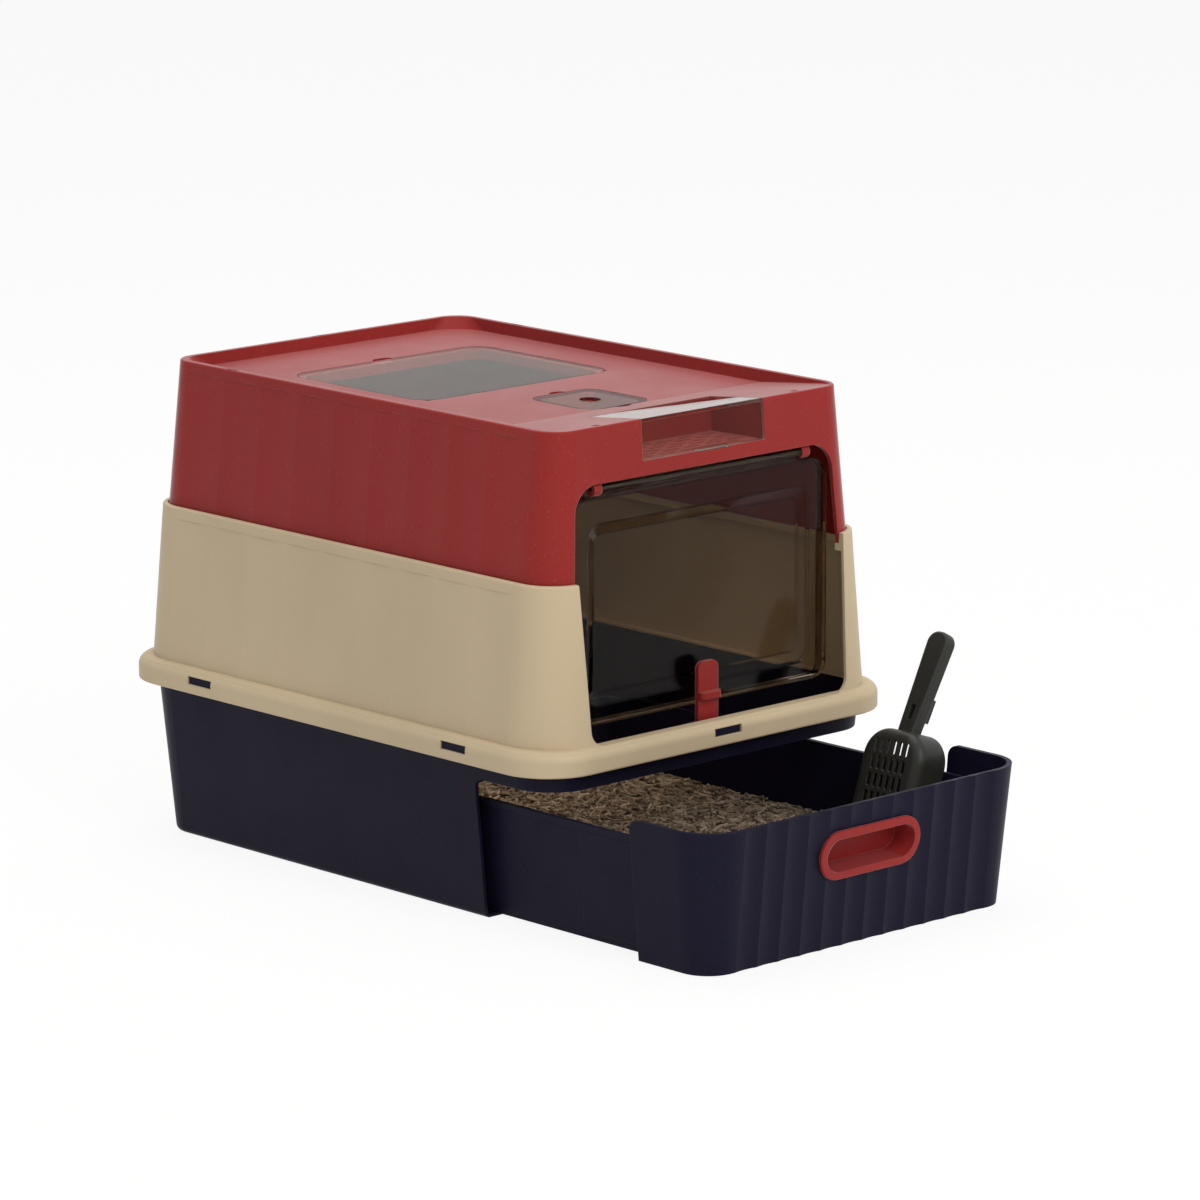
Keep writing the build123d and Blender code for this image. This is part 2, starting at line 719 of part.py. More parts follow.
    # Small holes near the front edge and notches in the rim
    with Locations(
        (deck_hole_spread, deck_hole_setback - cover_half_depth, cover_rim),
        (-deck_hole_spread, deck_hole_setback - cover_half_depth, cover_rim),
    ):
        Cylinder(deck_hole_radius, 2 * deck_hole_depth, mode=Mode.SUBTRACT)
    with Locations(
        (cover_half_width - rim_wall / 2, rim_notch_place, cover_rim),
        (rim_wall / 2 - cover_half_width, rim_notch_place, cover_rim),
    ):
        Box(rim_notch_width, rim_notch_length, 2 * rim_notch_depth, mode=Mode.SUBTRACT)
    with Locations((0, cover_half_depth - rim_wall / 2, cover_rim)):
        Box(rim_notch_length, rim_notch_width, 2 * rim_notch_depth, mode=Mode.SUBTRACT)

# Flap, hung from its barrel
flap_high = hinge_height - hinge_lug_radius - 2 * clearance
panel_half_width = flap_half_width - panel_side_margin
panel_low = flap_low + panel_bottom_margin
panel_high = flap_high - panel_top_margin


def flap_outline(depth, inset):
    """Outline of the flap at a depth behind its front face."""
    with BuildSketch(Plane.XZ.offset(flap_face - depth)) as outline:
        with Locations((0, (flap_low + flap_high) / 2)):
            Rectangle(2 * (flap_half_width - inset), flap_high - flap_low - 2 * inset)
        fillet(outline.vertices().group_by(Axis.Y)[0], flap_corner_low - inset)
        fillet(outline.vertices().group_by(Axis.Y)[-1], flap_corner_high - inset)
    return outline.sketch


def panel_section(depth, inset):
    """Outline of the dished panel at a depth behind the flap's front face."""
    with BuildSketch(Plane.XZ.offset(flap_face - depth)) as section:
        with Locations((0, (panel_low + panel_high) / 2)):
            RectangleRounded(
                2 * (panel_half_width - inset), panel_high - panel_low - 2 * inset, panel_corner - inset / 2)
    return section.sketch


with BuildPart() as flap_door:
    extrude(flap_outline(0, 0), amount=-flap_thickness - flange_depth)
    extrude(flap_outline(flap_thickness, flange_wall), amount=-flange_depth - overrun, mode=Mode.SUBTRACT)
    with BuildSketch(Plane.XZ.offset(flap_face)):
        with Locations((0, hinge_height)):
            Rectangle(2 * hinge_barrel_half, hinge_height - flap_high + merge, align=(Align.CENTER, Align.MAX))
    extrude(amount=-flap_thickness)
    loft(
        [panel_section(flap_thickness - merge, 0), panel_section(flap_thickness + panel_depth, panel_bevel)],
        ruled=True,
    )
    loft(
        [panel_section(-overrun, -overrun * panel_bevel / panel_depth), panel_section(panel_depth, panel_bevel)],
        ruled=True, mode=Mode.SUBTRACT,
    )
    with BuildSketch(Plane.YZ):
        with Locations((hinge_axis, hinge_height)):
            Circle(hinge_barrel_radius)
    extrude(amount=hinge_barrel_half, both=True)
    with BuildSketch(Plane.YZ):
        with Locations((hinge_axis, hinge_height)):
            Circle(hinge_rod_radius + pin_clearance)
    extrude(amount=hinge_barrel_half + overrun, both=True, mode=Mode.SUBTRACT)

# Rod that the flap hangs on
with BuildPart() as flap_hinge_rod:
    with BuildSketch(Plane.YZ):
        with Locations((hinge_axis, hinge_height)):
            Circle(hinge_rod_radius)
    extrude(amount=lug_low + hinge_lug_length, both=True)

# Door latch: a plate with guide wings at its foot and a thumb ledge
with BuildPart() as door_latch:
    with BuildSketch(Plane.XZ.offset(-latch_rear)) as latch_plate:
        with Locations((0, latch_top)):
            Rectangle(latch_width, latch_length, align=(Align.CENTER, Align.MAX))
        fillet(latch_plate.vertices().group_by(Axis.Y)[-1], latch_corner)
        with Locations((0, latch_top - latch_length)):
            Rectangle(2 * wing_half, latch_wing_height, align=(Align.CENTER, Align.MIN))
    extrude(amount=latch_thickness)
    with BuildSketch(Plane.XY.offset(latch_ledge_low)) as latch_ledge:
        with Locations((0, latch_front + merge)):
            Rectangle(latch_width, latch_ledge_reach + merge, align=(Align.CENTER, Align.MAX))
        fillet(latch_ledge.vertices().group_by(Axis.Y)[0], latch_ledge_corner)
    extrude(amount=latch_ledge_height)

# Skylight lid: a clear plate with two pivot stubs
with BuildPart() as skylight_lid:
    with BuildSketch(Plane((0, skylight_centre, skylight_low))):
        RectangleRounded(2 * skylight_half_width, 2 * skylight_half_depth, skylight_corner)
    extrude(amount=skylight_thickness)
    with BuildSketch(Plane.YZ):
        with Locations((skylight_axis, skylight_axis_height)):
            Circle(skylight_pivot_radius)
    extrude(amount=pivot_half - clearance, both=True)

# Deodoriser lid with its finger hole
with BuildPart() as deodoriser_lid:
    with BuildSketch(Plane((0, cup_centre, cup_lid_low))):
        RectangleRounded(cup_lid_width, cup_lid_depth, cup_lid_corner)
        Circle(cup_finger_radius, mode=Mode.SUBTRACT)
    extrude(amount=cup_lid_thickness)

# Deodoriser cup, hung by its flange, with slots in its floor
cup_width = cup_lid_width - 2 * cup_flange_width
cup_length = cup_lid_depth - 2 * cup_flange_width
cup_corner = cup_lid_corner - cup_flange_width
cup_low = cup_lid_low - cup_depth

with BuildPart() as deodoriser_cup:
    with BuildSketch(Plane((0, cup_centre, cup_seat))):
        RectangleRounded(cup_lid_width, cup_lid_depth, cup_lid_corner)
    extrude(amount=cup_flange)
    with BuildSketch(Plane((0, cup_centre, cup_low))):
        RectangleRounded(cup_width, cup_length, cup_corner)
    extrude(amount=cup_depth)
    with BuildSketch(Plane((0, cup_centre, cup_low + cup_wall))):
        RectangleRounded(cup_width - 2 * cup_wall, cup_length - 2 * cup_wall, cup_corner - cup_wall)
    extrude(amount=cup_depth + overrun, mode=Mode.SUBTRACT)
    with BuildSketch(Plane((0, cup_centre, cup_low - overrun))):
        with GridLocations(0, cup_slot_pitch, 1, cup_slot_count):
            SlotOverall(cup_slot_length, cup_slot_width)
    extrude(amount=cup_wall + 2 * overrun, mode=Mode.SUBTRACT)

# Vent grille: a basket with a slotted floor that hangs under the deck behind the front wall
basket_low = vent_floor - vent_floor_wall
basket_rear = vent_rear - vent_wall
basket_low_front = front_wall(basket_low) - cover_wall - clearance
basket_high_front = front_wall(inner_top) - cover_wall - clearance
deck_gap = deck_thickness + fixed_clearance

with BuildPart() as vent_grille:
    with BuildSketch(Plane.YZ):
        with BuildLine():
            Polyline(
                (-basket_low_front, basket_low), (-basket_rear, basket_low),
                (-basket_rear, deck_height(basket_rear) - deck_gap),
                (-basket_high_front, deck_height(basket_high_front) - deck_gap), close=True,
            )
        make_face()
    extrude(amount=hatch_half_width + vent_wall, both=True)
    with BuildSketch(Plane((0, -vent_rear, vent_floor))):
        Rectangle(2 * hatch_half_width, cover_half_depth, align=(Align.CENTER, Align.MAX))
    extrude(amount=cover_rim - vent_floor, mode=Mode.SUBTRACT)
    with BuildSketch(Plane((0, -(basket_low_front + vent_rear) / 2, basket_low - overrun))):
        for row in range(grille_row_count):
            stagger = (grille_slot_pitch / 4) * (1 if row % 2 else -1)
            with Locations((stagger, (row - (grille_row_count - 1) / 2) * grille_row_pitch)):
                with GridLocations(grille_slot_pitch, 0, grille_row_slots, 1):
                    SlotOverall(grille_slot_length, grille_slot_width)
    extrude(amount=vent_floor_wall + 2 * overrun, mode=Mode.SUBTRACT)

# Vent hatch: an L of clear sheet that closes the compartment's front and top
hatch_foot = hatch_low + clearance
hatch_foot_place = front_wall(hatch_foot)
hatch_bend = slope_front - hatch_thickness

with BuildPart() as vent_hatch:
    with BuildSketch(Plane.YZ):
        with BuildLine():
            Polyline(
                (-hatch_foot_place, hatch_foot), (-cover_half_depth, cover_rim), (-slope_front, cover_rim),
                (-hatch_rear, deck_height(hatch_rear)), (-hatch_rear, deck_height(hatch_rear) - hatch_thickness),
                (-hatch_bend, deck_height(hatch_bend) - hatch_thickness),
                (hatch_thickness - hatch_foot_place, hatch_foot), close=True,
            )
        make_face()
    extrude(amount=hatch_half_width - clearance, both=True)
    with BuildSketch(Plane((hatch_lip_place, merge - hatch_foot_place, hatch_foot))):
        Rectangle(2 * hatch_lip_half, hatch_lip_reach + merge, align=(Align.CENTER, Align.MAX))
    extrude(amount=hatch_lip_height)
    with BuildSketch(Plane.YZ):
        with Locations((hatch_axis, hatch_axis_height)):
            Circle(hatch_pivot_radius)
    extrude(amount=hatch_half_width + hatch_pivot_reach - pin_clearance, both=True)

# Plane of the drawer's front face at the handle, and the outline of the handle's cup
shell_rear = -base_cut_back - drawer_joint - drawer_pull
shell_front = -base_half_depth - base_lean_share * drawer_top - drawer_pull
handle_place = base_half_depth + base_lean_share * handle_level + drawer_pull
handle_plane = Plane((0, -handle_place, handle_level), x_dir=(1, 0, 0), z_dir=(0, -1, -base_lean_share))
recess_length = handle_length - 2 * handle_ring
recess_height = handle_height - 2 * handle_ring
handle_hole_length = recess_length + 2 * handle_wall + 2 * clearance
handle_hole_height = recess_height + 2 * handle_wall + 2 * clearance

# Cheeks of the drawer front along the tray's sides, with webs to the shell
cheek_high = tray_rim - tray_rim_band - clearance
cheek_rear = shell_rear + cheek_length
cheek_front = shell_rear - cheek_web

with BuildPart() as cheek_webs:
    loft(
        [
            base_section(cheek_low, drawer_wall - merge, -drawer_pull),
            base_section(cheek_high, drawer_wall - merge, -drawer_pull),
        ],
        ruled=True,
    )
    with BuildSketch(Plane((0, shell_rear, cheek_low))):
        Rectangle(2 * skirt_half_width, cheek_web, align=(Align.CENTER, Align.MAX))
    extrude(amount=cheek_high - cheek_low, mode=Mode.INTERSECT)

with BuildPart() as cheeks:
    loft(
        [tray_section(cheek_low, -clearance - cheek_wall), tray_section(cheek_high, -clearance - cheek_wall)],
        ruled=True,
    )
    with BuildSketch(Plane((0, cheek_front, cheek_low))):
        Rectangle(2 * skirt_half_width, cheek_rear - cheek_front, align=(Align.CENTER, Align.MIN))
    extrude(amount=cheek_high - cheek_low, mode=Mode.INTERSECT)
    add(cheek_webs.part)
    loft(
        [tray_section(cheek_low - overrun, -clearance), tray_section(cheek_high + overrun, -clearance)],
        ruled=True, mode=Mode.SUBTRACT,
    )

# Drawer front: a shell that continues the base's walls
with BuildPart() as drawer_front:
    loft([drawer_section(drawer_foot), drawer_section(drawer_top)], ruled=True)
    loft(
        [
            base_section(drawer_foot - overrun, drawer_wall, -drawer_pull),
            base_section(drawer_top + overrun, drawer_wall, -drawer_pull),
        ],
        ruled=True, mode=Mode.SUBTRACT,
    )
    with BuildSketch(Plane.YZ) as shell_side:
        with Locations((shell_rear, drawer_top)):
            Rectangle(shell_rear - shell_front + overrun, drawer_top, align=(Align.MAX, Align.MAX))
        fillet(shell_side.vertices().group_by(Axis.X)[-1].sort_by(Axis.Y)[-1], base_cut_corner)
    extrude(amount=skirt_half_width, both=True, mode=Mode.INTERSECT)
    with BuildSketch(handle_plane.offset(-drawer_flute_depth)):
        SlotOverall(handle_length + 2 * clearance, handle_height + 2 * clearance)
    extrude(amount=drawer_flute_depth + overrun, mode=Mode.SUBTRACT)
    with BuildSketch(handle_plane):
        SlotOverall(handle_hole_length, handle_hole_height)
    extrude(amount=-drawer_wall - overrun, mode=Mode.SUBTRACT)
    add(cheeks.part)

# Handle: a cup with a bezel, set in the drawer's front
with BuildPart() as drawer_handle:
    with BuildSketch(handle_plane.offset(-drawer_flute_depth)):
        SlotOverall(handle_length, handle_height)
    extrude(amount=drawer_flute_depth + handle_proud)
    fillet(drawer_handle.faces().sort_by(Axis.Y)[0].edges(), handle_edge)
    with BuildSketch(handle_plane.offset(-handle_depth - handle_wall)):
        SlotOverall(recess_length + 2 * handle_wall, recess_height + 2 * handle_wall)
    extrude(amount=handle_depth + handle_wall)
    with BuildSketch(handle_plane.offset(-handle_depth)):
        SlotOverall(recess_length, recess_height)
    extrude(amount=handle_depth + handle_proud + overrun, mode=Mode.SUBTRACT)

# Litter tray, with a rim band on the sides and rear and a window for the handle's cup
band_low = tray_rim - tray_rim_band

with BuildPart() as tray_band:
    loft([tray_section(band_low, 0, tray_rim_reach), tray_section(tray_rim, 0, tray_rim_reach)], ruled=True)
    with BuildSketch(Plane((0, cheek_front, band_low))):
        Rectangle(2 * skirt_half_width, base_half_depth + tray_rear, align=(Align.CENTER, Align.MIN))
    extrude(amount=tray_rim_band, mode=Mode.INTERSECT)

with BuildPart() as litter_tray:
    loft([tray_section(tray_foot, 0), tray_section(tray_rim, 0)], ruled=True)
    add(tray_band.part)
    loft(
        [tray_section(tray_floor, tray_wall), tray_section(tray_rim + overrun, tray_wall)],
        ruled=True, mode=Mode.SUBTRACT,
    )
    with BuildSketch(handle_plane):
        SlotOverall(handle_hole_length, handle_hole_height)
    extrude(amount=-drawer_wall - tray_wall - overrun, mode=Mode.SUBTRACT)

# Litter, raked into low furrows across the drawer
litter_inset = tray_wall + clearance
litter_front = -base_half_depth - base_lean_share * litter_level - drawer_pull
litter_rear = tray_rear + tray_lean_share * litter_level - drawer_pull
furrow_count = int((litter_rear - litter_front) // litter_furrow_pitch)
furrow_run = (litter_rear - litter_front) / furrow_count
furrow_low = litter_level - litter_furrow_depth

with BuildPart() as litter_bed:
    loft(
        [tray_section(tray_floor + clearance, litter_inset), tray_section(litter_level + overrun, litter_inset)],
        ruled=True,
    )
    with BuildSketch(Plane.YZ):
        with BuildLine():
            Polyline((litter_front, litter_level), (litter_front, 0), (litter_rear, 0), (litter_rear, litter_level))
            for place in range(furrow_count):
                left = litter_front + place * furrow_run
                right = left + furrow_run
                ThreePointArc((left, litter_level), ((left + right) / 2, furrow_low), (right, litter_level))
        make_face()
    extrude(amount=skirt_half_width, both=True, mode=Mode.INTERSECT)

# Planes of the scoop: its lowest edge stands on the litter and its open side leans on the tray's rim
blade_tilt = radians(scoop_lean)
handle_tilt = radians(scoop_lean + scoop_crank)
blade_up = Vector(sin(blade_tilt), 0, cos(blade_tilt))
blade_out = Vector(-cos(blade_tilt), 0, sin(blade_tilt))
grip_up = Vector(sin(handle_tilt), 0, cos(handle_tilt))
grip_out = Vector(-cos(handle_tilt), 0, sin(handle_tilt))
scoop_place = base_half_depth + drawer_pull - scoop_setback
rim_inside = tray_half_width + tray_lean_share * tray_rim - tray_wall
lean_height = tray_rim - litter_level - clearance
scoop_foot = Vector(
    rim_inside - clearance - scoop_depth * cos(blade_tilt) - lean_height * sin(blade_tilt) / cos(blade_tilt),
    -scoop_place,
    litter_level + clearance + scoop_depth * sin(blade_tilt),
)
grip_foot = scoop_foot + blade_up * (scoop_blade - scoop_handle_root) - blade_out * (scoop_depth / 2)
across = Vector(0, -1, 0)
blade_plane = Plane(scoop_foot, x_dir=across, z_dir=blade_out)
grip_plane = Plane(grip_foot + grip_out * (scoop_handle_thickness / 2), x_dir=across, z_dir=grip_out)
hook_origin = grip_foot - grip_out * (scoop_handle_thickness / 2) + grip_up * scoop_hook_place
hook_plane = Plane(hook_origin, x_dir=grip_out * -1, z_dir=across)
blade_axis = Axis(scoop_foot, blade_out)
grip_axis = Axis(grip_foot, grip_out)


def blade_outline(inset, below):
    """Outline of the scoop's blade on its slotted face, drawn in by inset and carried on below."""
    with BuildSketch(blade_plane.offset(-inset)) as outline:
        with Locations((0, -below)):
            Rectangle(scoop_width - 2 * inset, scoop_blade - inset + below, align=(Align.CENTER, Align.MIN))
        fillet(outline.vertices().group_by(Axis.Y)[-1], scoop_shoulder - inset)
    return outline.sketch


# Inside of the scoop's cup, and its handle
with BuildPart() as scoop_hollow:
    extrude(blade_outline(scoop_wall, overrun), amount=-scoop_depth)
    fillet(
        scoop_hollow.faces().sort_by(blade_axis)[-1].edges().sort_by(Axis.Z)[1:], scoop_edge - scoop_wall)

with BuildPart() as scoop_grip:
    with BuildSketch(grip_plane) as grip_outline:
        with BuildLine():
            Polyline(
                (-scoop_handle_low_width / 2, 0), (scoop_handle_low_width / 2, 0),
                (scoop_handle_top_width / 2, scoop_handle_length),
                (-scoop_handle_top_width / 2, scoop_handle_length), close=True,
            )
        make_face()
        fillet(grip_outline.vertices().group_by(Axis.Y)[-1], scoop_handle_end)
    extrude(amount=-scoop_handle_thickness)
    fillet(scoop_grip.faces().sort_by(grip_axis)[-1].edges(), scoop_handle_edge)
    fillet(scoop_grip.faces().sort_by(grip_axis)[0].edges(), scoop_handle_edge)
    with BuildSketch(grip_plane):
        with Locations((0, scoop_eye_place)):
            SlotOverall(scoop_eye_length, scoop_eye_width, rotation=90)
    extrude(amount=-scoop_handle_thickness, mode=Mode.SUBTRACT)
    with BuildSketch(hook_plane):
        with Locations((scoop_hook_gap, 0)):
            Rectangle(scoop_hook_wall, scoop_hook_length, align=(Align.MIN, Align.CENTER))
        with Locations((-merge, scoop_hook_length / 2)):
            Rectangle(merge + scoop_hook_gap + scoop_hook_wall, scoop_hook_wall, align=(Align.MIN, Align.MAX))
    extrude(amount=scoop_hook_width / 2, both=True)

# Scoop
with BuildPart() as scoop:
    extrude(blade_outline(0, 0), amount=-scoop_depth)
    fillet(scoop.faces().sort_by(blade_axis)[-1].edges().sort_by(Axis.Z)[1:], scoop_edge)
    add(scoop_grip.part)
    add(scoop_hollow.part, mode=Mode.SUBTRACT)
    with BuildSketch(blade_plane):
        with Locations((0, scoop_row_place)):
            with GridLocations(scoop_slot_pitch, scoop_row_pitch, scoop_row_slots, scoop_row_count):
                SlotOverall(scoop_slot_length, scoop_slot_width, rotation=90)
    extrude(amount=-scoop_wall - overrun, mode=Mode.SUBTRACT)

# Labels and files
pieces = {
    "base_tub": base_tub,
    "lower_housing": lower_housing,
    "top_cover": top_cover,
    "flap_door": flap_door,
    "flap_hinge_rod": flap_hinge_rod,
    "door_latch": door_latch,
    "skylight_lid": skylight_lid,
    "deodoriser_lid": deodoriser_lid,
    "deodoriser_cup": deodoriser_cup,
    "vent_hatch": vent_hatch,
    "vent_grille": vent_grille,
    "drawer_front": drawer_front,
    "drawer_handle": drawer_handle,
    "litter_tray": litter_tray,
    "litter_bed": litter_bed,
    "scoop": scoop,
}

os.makedirs("parts", exist_ok=True)
for name, piece in pieces.items():
    piece.part.label = name
    export_step(piece.part, f"parts/{name}.step")
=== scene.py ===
"""Looks of an enclosed litter box: three moulded shells, clear flap and lids, litter drawer and scoop."""

import logging
import math
import random
from dataclasses import dataclass, field
from enum import Enum

import bmesh
import bpy
from mathutils import Euler, Matrix, Vector, noise

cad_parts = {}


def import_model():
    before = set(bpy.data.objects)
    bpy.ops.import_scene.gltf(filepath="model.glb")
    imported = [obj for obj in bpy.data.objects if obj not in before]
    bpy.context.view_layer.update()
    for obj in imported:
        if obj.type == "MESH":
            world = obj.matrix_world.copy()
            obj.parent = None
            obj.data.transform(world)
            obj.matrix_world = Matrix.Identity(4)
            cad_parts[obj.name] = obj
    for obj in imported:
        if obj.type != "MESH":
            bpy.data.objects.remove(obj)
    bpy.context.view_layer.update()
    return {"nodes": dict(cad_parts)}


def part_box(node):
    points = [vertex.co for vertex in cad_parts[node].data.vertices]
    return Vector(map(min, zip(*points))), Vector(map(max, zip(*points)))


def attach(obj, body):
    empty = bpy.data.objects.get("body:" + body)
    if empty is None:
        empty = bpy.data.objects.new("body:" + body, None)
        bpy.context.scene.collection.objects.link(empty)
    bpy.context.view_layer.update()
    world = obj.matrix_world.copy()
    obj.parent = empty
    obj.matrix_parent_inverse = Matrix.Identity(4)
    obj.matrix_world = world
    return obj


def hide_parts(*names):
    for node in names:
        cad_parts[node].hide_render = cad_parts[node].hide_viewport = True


LOG = logging.getLogger("litter_box")

Colour = tuple[float, float, float]
Point = tuple[float, float, float]
Span = tuple[float, float]
Stop = tuple[float, Colour]
Node = bpy.types.Node
Socket = bpy.types.NodeSocket

WHITE: Colour = (1.0, 1.0, 1.0)
EVEN: Point = (1.0, 1.0, 1.0)
MIDDLE_BAND: Span = (0.30, 0.70)
WORN_AND_HIGHLIT_TURNS: Span = (0.72, 0.985)


class Grain(Enum):
    """Surface of the mould: waves per metre and depth in metres of the texture that it leaves."""

    SATIN = (1500.0, 0.00004)
    FINE = (2400.0, 0.00003)

    @property
    def pitch(self) -> float:
        """Waves per metre."""
        return self.value[0]

    @property
    def depth(self) -> float:
        """Depth of the texture in metres."""
        return self.value[1]


class Layer(Enum):
    """Layers of litter: pellet count, height over the bed's level in metres and largest tilt in degrees."""

    UNDER = (3300, -0.0030, 5.0)
    MIDDLE = (4200, -0.0013, 12.0)
    TOP = (4500, 0.0003, 22.0)


@dataclass(frozen=True)
class Pattern:
    """Noise fixed to a piece.

    Attributes:
        pitch: waves per metre.
        detail: octaves of finer noise.
        stretch: share of the pitch along each axis.
        band: the values of the noise that count.
    """

    pitch: float
    detail: float = 2.0
    stretch: Point = EVEN
    band: Span = MIDDLE_BAND


def shaded(colour: Colour, share: float) -> Colour:
    """Darkens or lightens a colour.

    Args:
        colour: the colour.
        share: factor on each channel.

    Returns:
        The new colour, at most 1 in each channel.
    """
    return tuple(min(1.0, channel * share) for channel in colour)


def seen_rays(tree: bpy.types.NodeTree) -> Socket:
    """Adds a switch for what the camera sees straight, through clear pieces or mirrored in glossy ones.

    Args:
        tree: the node tree.

    Returns:
        The switch, which is 1 for those rays and 0 for the light that falls on pieces.
    """
    path = tree.nodes.new("ShaderNodeLightPath").outputs
    seen = path["Is Camera Ray"]
    for ray in ("Is Transmission Ray", "Is Glossy Ray"):
        either = tree.nodes.new("ShaderNodeMath")
        either.operation = "MAXIMUM"
        tree.links.new(seen, either.inputs[0])
        tree.links.new(path[ray], either.inputs[1])
        seen = either.outputs[0]
    return seen


class Wiring:
    """Node tree of one material, with short calls to add nodes and join them."""

    def __init__(self, name: str) -> None:
        """Starts an empty tree.

        Args:
            name: name of the material.
        """
        self.material: bpy.types.Material = bpy.data.materials.new(name)
        self.material.use_nodes = True
        self.tree: bpy.types.NodeTree = self.material.node_tree
        self.tree.nodes.clear()
        self.output: Node = self.add("ShaderNodeOutputMaterial")
        self.place: Socket = self.add("ShaderNodeTexCoord").outputs["Object"]

    @staticmethod
    def socket(node: Node, name: str) -> Socket:
        """Finds a live input of a node.

        Args:
            node: the node.
            name: the input's name in lower case.

        Returns:
            The input.
        """
        return next(socket for socket in node.inputs if socket.enabled and socket.name.lower() == name)

    def add(self, kind: str, **values: object) -> Node:
        """Adds a node.

        Args:
            kind: the node's type.
            values: values of its inputs, with the input's name in lower case and _ for a space.

        Returns:
            The node.
        """
        node = self.tree.nodes.new(kind)
        for name, value in values.items():
            socket = self.socket(node, name.replace("_", " "))
            if isinstance(value, Socket):
                self.tree.links.new(value, socket)
            else:
                socket.default_value = value
        return node

    def noise(self, pattern: Pattern) -> Socket:
        """Adds a noise pattern.

        Args:
            pattern: the pattern.

        Returns:
            Its values, from 0 to 1.
        """
        place = self.add("ShaderNodeMapping", vector=self.place, scale=pattern.stretch).outputs["Vector"]
        node = self.add("ShaderNodeTexNoise", vector=place, scale=pattern.pitch, detail=pattern.detail)
        return node.outputs["Fac"]

    def spread(self, value: Socket, results: Span, band: Span) -> Socket:
        """Maps a band of values onto another.

        Args:
            value: the values.
            results: results at the start and at the end of the band.
            band: the values that count.

        Returns:
            The mapped values.
        """
        node = self.add(
            "ShaderNodeMapRange", value=value, from_min=band[0], from_max=band[1],
            to_min=results[0], to_max=results[1],
        )
        return node.outputs["Result"]

    def vary(self, pattern: Pattern, results: Span) -> Socket:
        """Adds a noise pattern and maps its band onto other values.

        Args:
            pattern: the pattern.
            results: results at the start and at the end of its band.

        Returns:
            The mapped values.
        """
        return self.spread(self.noise(pattern), results, pattern.band)

    def ramp(self, value: Socket, stops: tuple[Stop, ...]) -> Socket:
        """Colours a pattern.

        Args:
            value: the pattern.
            stops: places along it and their colours.

        Returns:
            The colour.
        """
        node = self.add("ShaderNodeValToRGB", fac=value)
        elements = node.color_ramp.elements
        for number, (at, colour) in enumerate(stops):
            element = elements[number] if number < len(elements) else elements.new(at)
            element.position = at
            element.color = (*colour, 1.0)
        return node.outputs["Color"]

    def tones(self, value: Socket, colour: Colour, shares: Span) -> Socket:
        """Varies a colour with a pattern.

        Args:
            value: the pattern.
            colour: the colour.
            shares: factors on the colour at the start and at the end of the pattern's middle band.

        Returns:
            The varied colour.
        """
        return self.ramp(value, tuple((at, shaded(colour, share)) for at, share in zip(MIDDLE_BAND, shares)))

    def blend(self, share: Socket, first: Socket, second: Colour) -> Socket:
        """Mixes a plain colour into another.

        Args:
            share: how much of the second colour shows.
            first: the colour below.
            second: the colour above.

        Returns:
            The mixed colour.
        """
        node = self.tree.nodes.new("ShaderNodeMix")
        node.data_type = "RGBA"
        self.tree.links.new(share, self.socket(node, "factor"))
        self.tree.links.new(first, self.socket(node, "a"))
        self.socket(node, "b").default_value = (*second, 1.0)
        return next(socket for socket in node.outputs if socket.enabled)

    def math(self, kind: str, first: Socket, second: Socket | float) -> Socket:
        """Adds a sum or product of two patterns.

        Args:
            kind: Blender's name of the operation.
            first: a pattern.
            second: a pattern or a number.

        Returns:
            The result.
        """
        node = self.tree.nodes.new("ShaderNodeMath")
        node.operation = kind
        self.tree.links.new(first, node.inputs[0])
        if isinstance(second, Socket):
            self.tree.links.new(second, node.inputs[1])
        else:
            node.inputs[1].default_value = second
        return node.outputs[0]

    def rounded(self, radius: float, turns: Span) -> tuple[Socket, Socket]:
        """Rounds the look of sharp edges.

        Args:
            radius: radius of the rounding in metres.
            turns: cosines of the turns at which the mask is full and at which it ends.

        Returns:
            The rounded normal, and a mask that is 1 on the edges.
        """
        soft = self.add("ShaderNodeBevel", radius=radius).outputs["Normal"]
        true = self.add("ShaderNodeNewGeometry").outputs["Normal"]
        node = self.tree.nodes.new("ShaderNodeVectorMath")
        node.operation = "DOT_PRODUCT"
        self.tree.links.new(soft, node.inputs[0])
        self.tree.links.new(true, node.inputs[1])
        return soft, self.spread(node.outputs["Value"], (1.0, 0.0), turns)

    def bump(self, height: Socket, depth: float, strength: float, normal: Socket | None = None) -> Socket:
        """Turns a pattern into relief.

        Args:
            height: the pattern.
            depth: its depth in metres.
            strength: share of the relief that shows.
            normal: the normal below it, if not the surface's own.

        Returns:
            The normal with the relief.
        """
        node = self.add("ShaderNodeBump", height=height, distance=depth, strength=strength)
        if normal is not None:
            self.tree.links.new(normal, node.inputs["Normal"])
        return node.outputs["Normal"]

    def mix(self, share: Socket, first: Node, second: Node) -> Node:
        """Mixes two shaders.

        Args:
            share: how much of the second shader shows.
            first: a shader.
            second: a shader.

        Returns:
            The mixed shader.
        """
        node = self.tree.nodes.new("ShaderNodeMixShader")
        for source, socket in zip((share, first.outputs[0], second.outputs[0]), node.inputs):
            self.tree.links.new(source, socket)
        return node

    def show(self, shader: Node) -> bpy.types.Material:
        """Joins a shader to the output.

        Args:
            shader: the last shader node.

        Returns:
            The finished material.
        """
        self.tree.links.new(shader.outputs[0], self.output.inputs["Surface"])
        return self.material


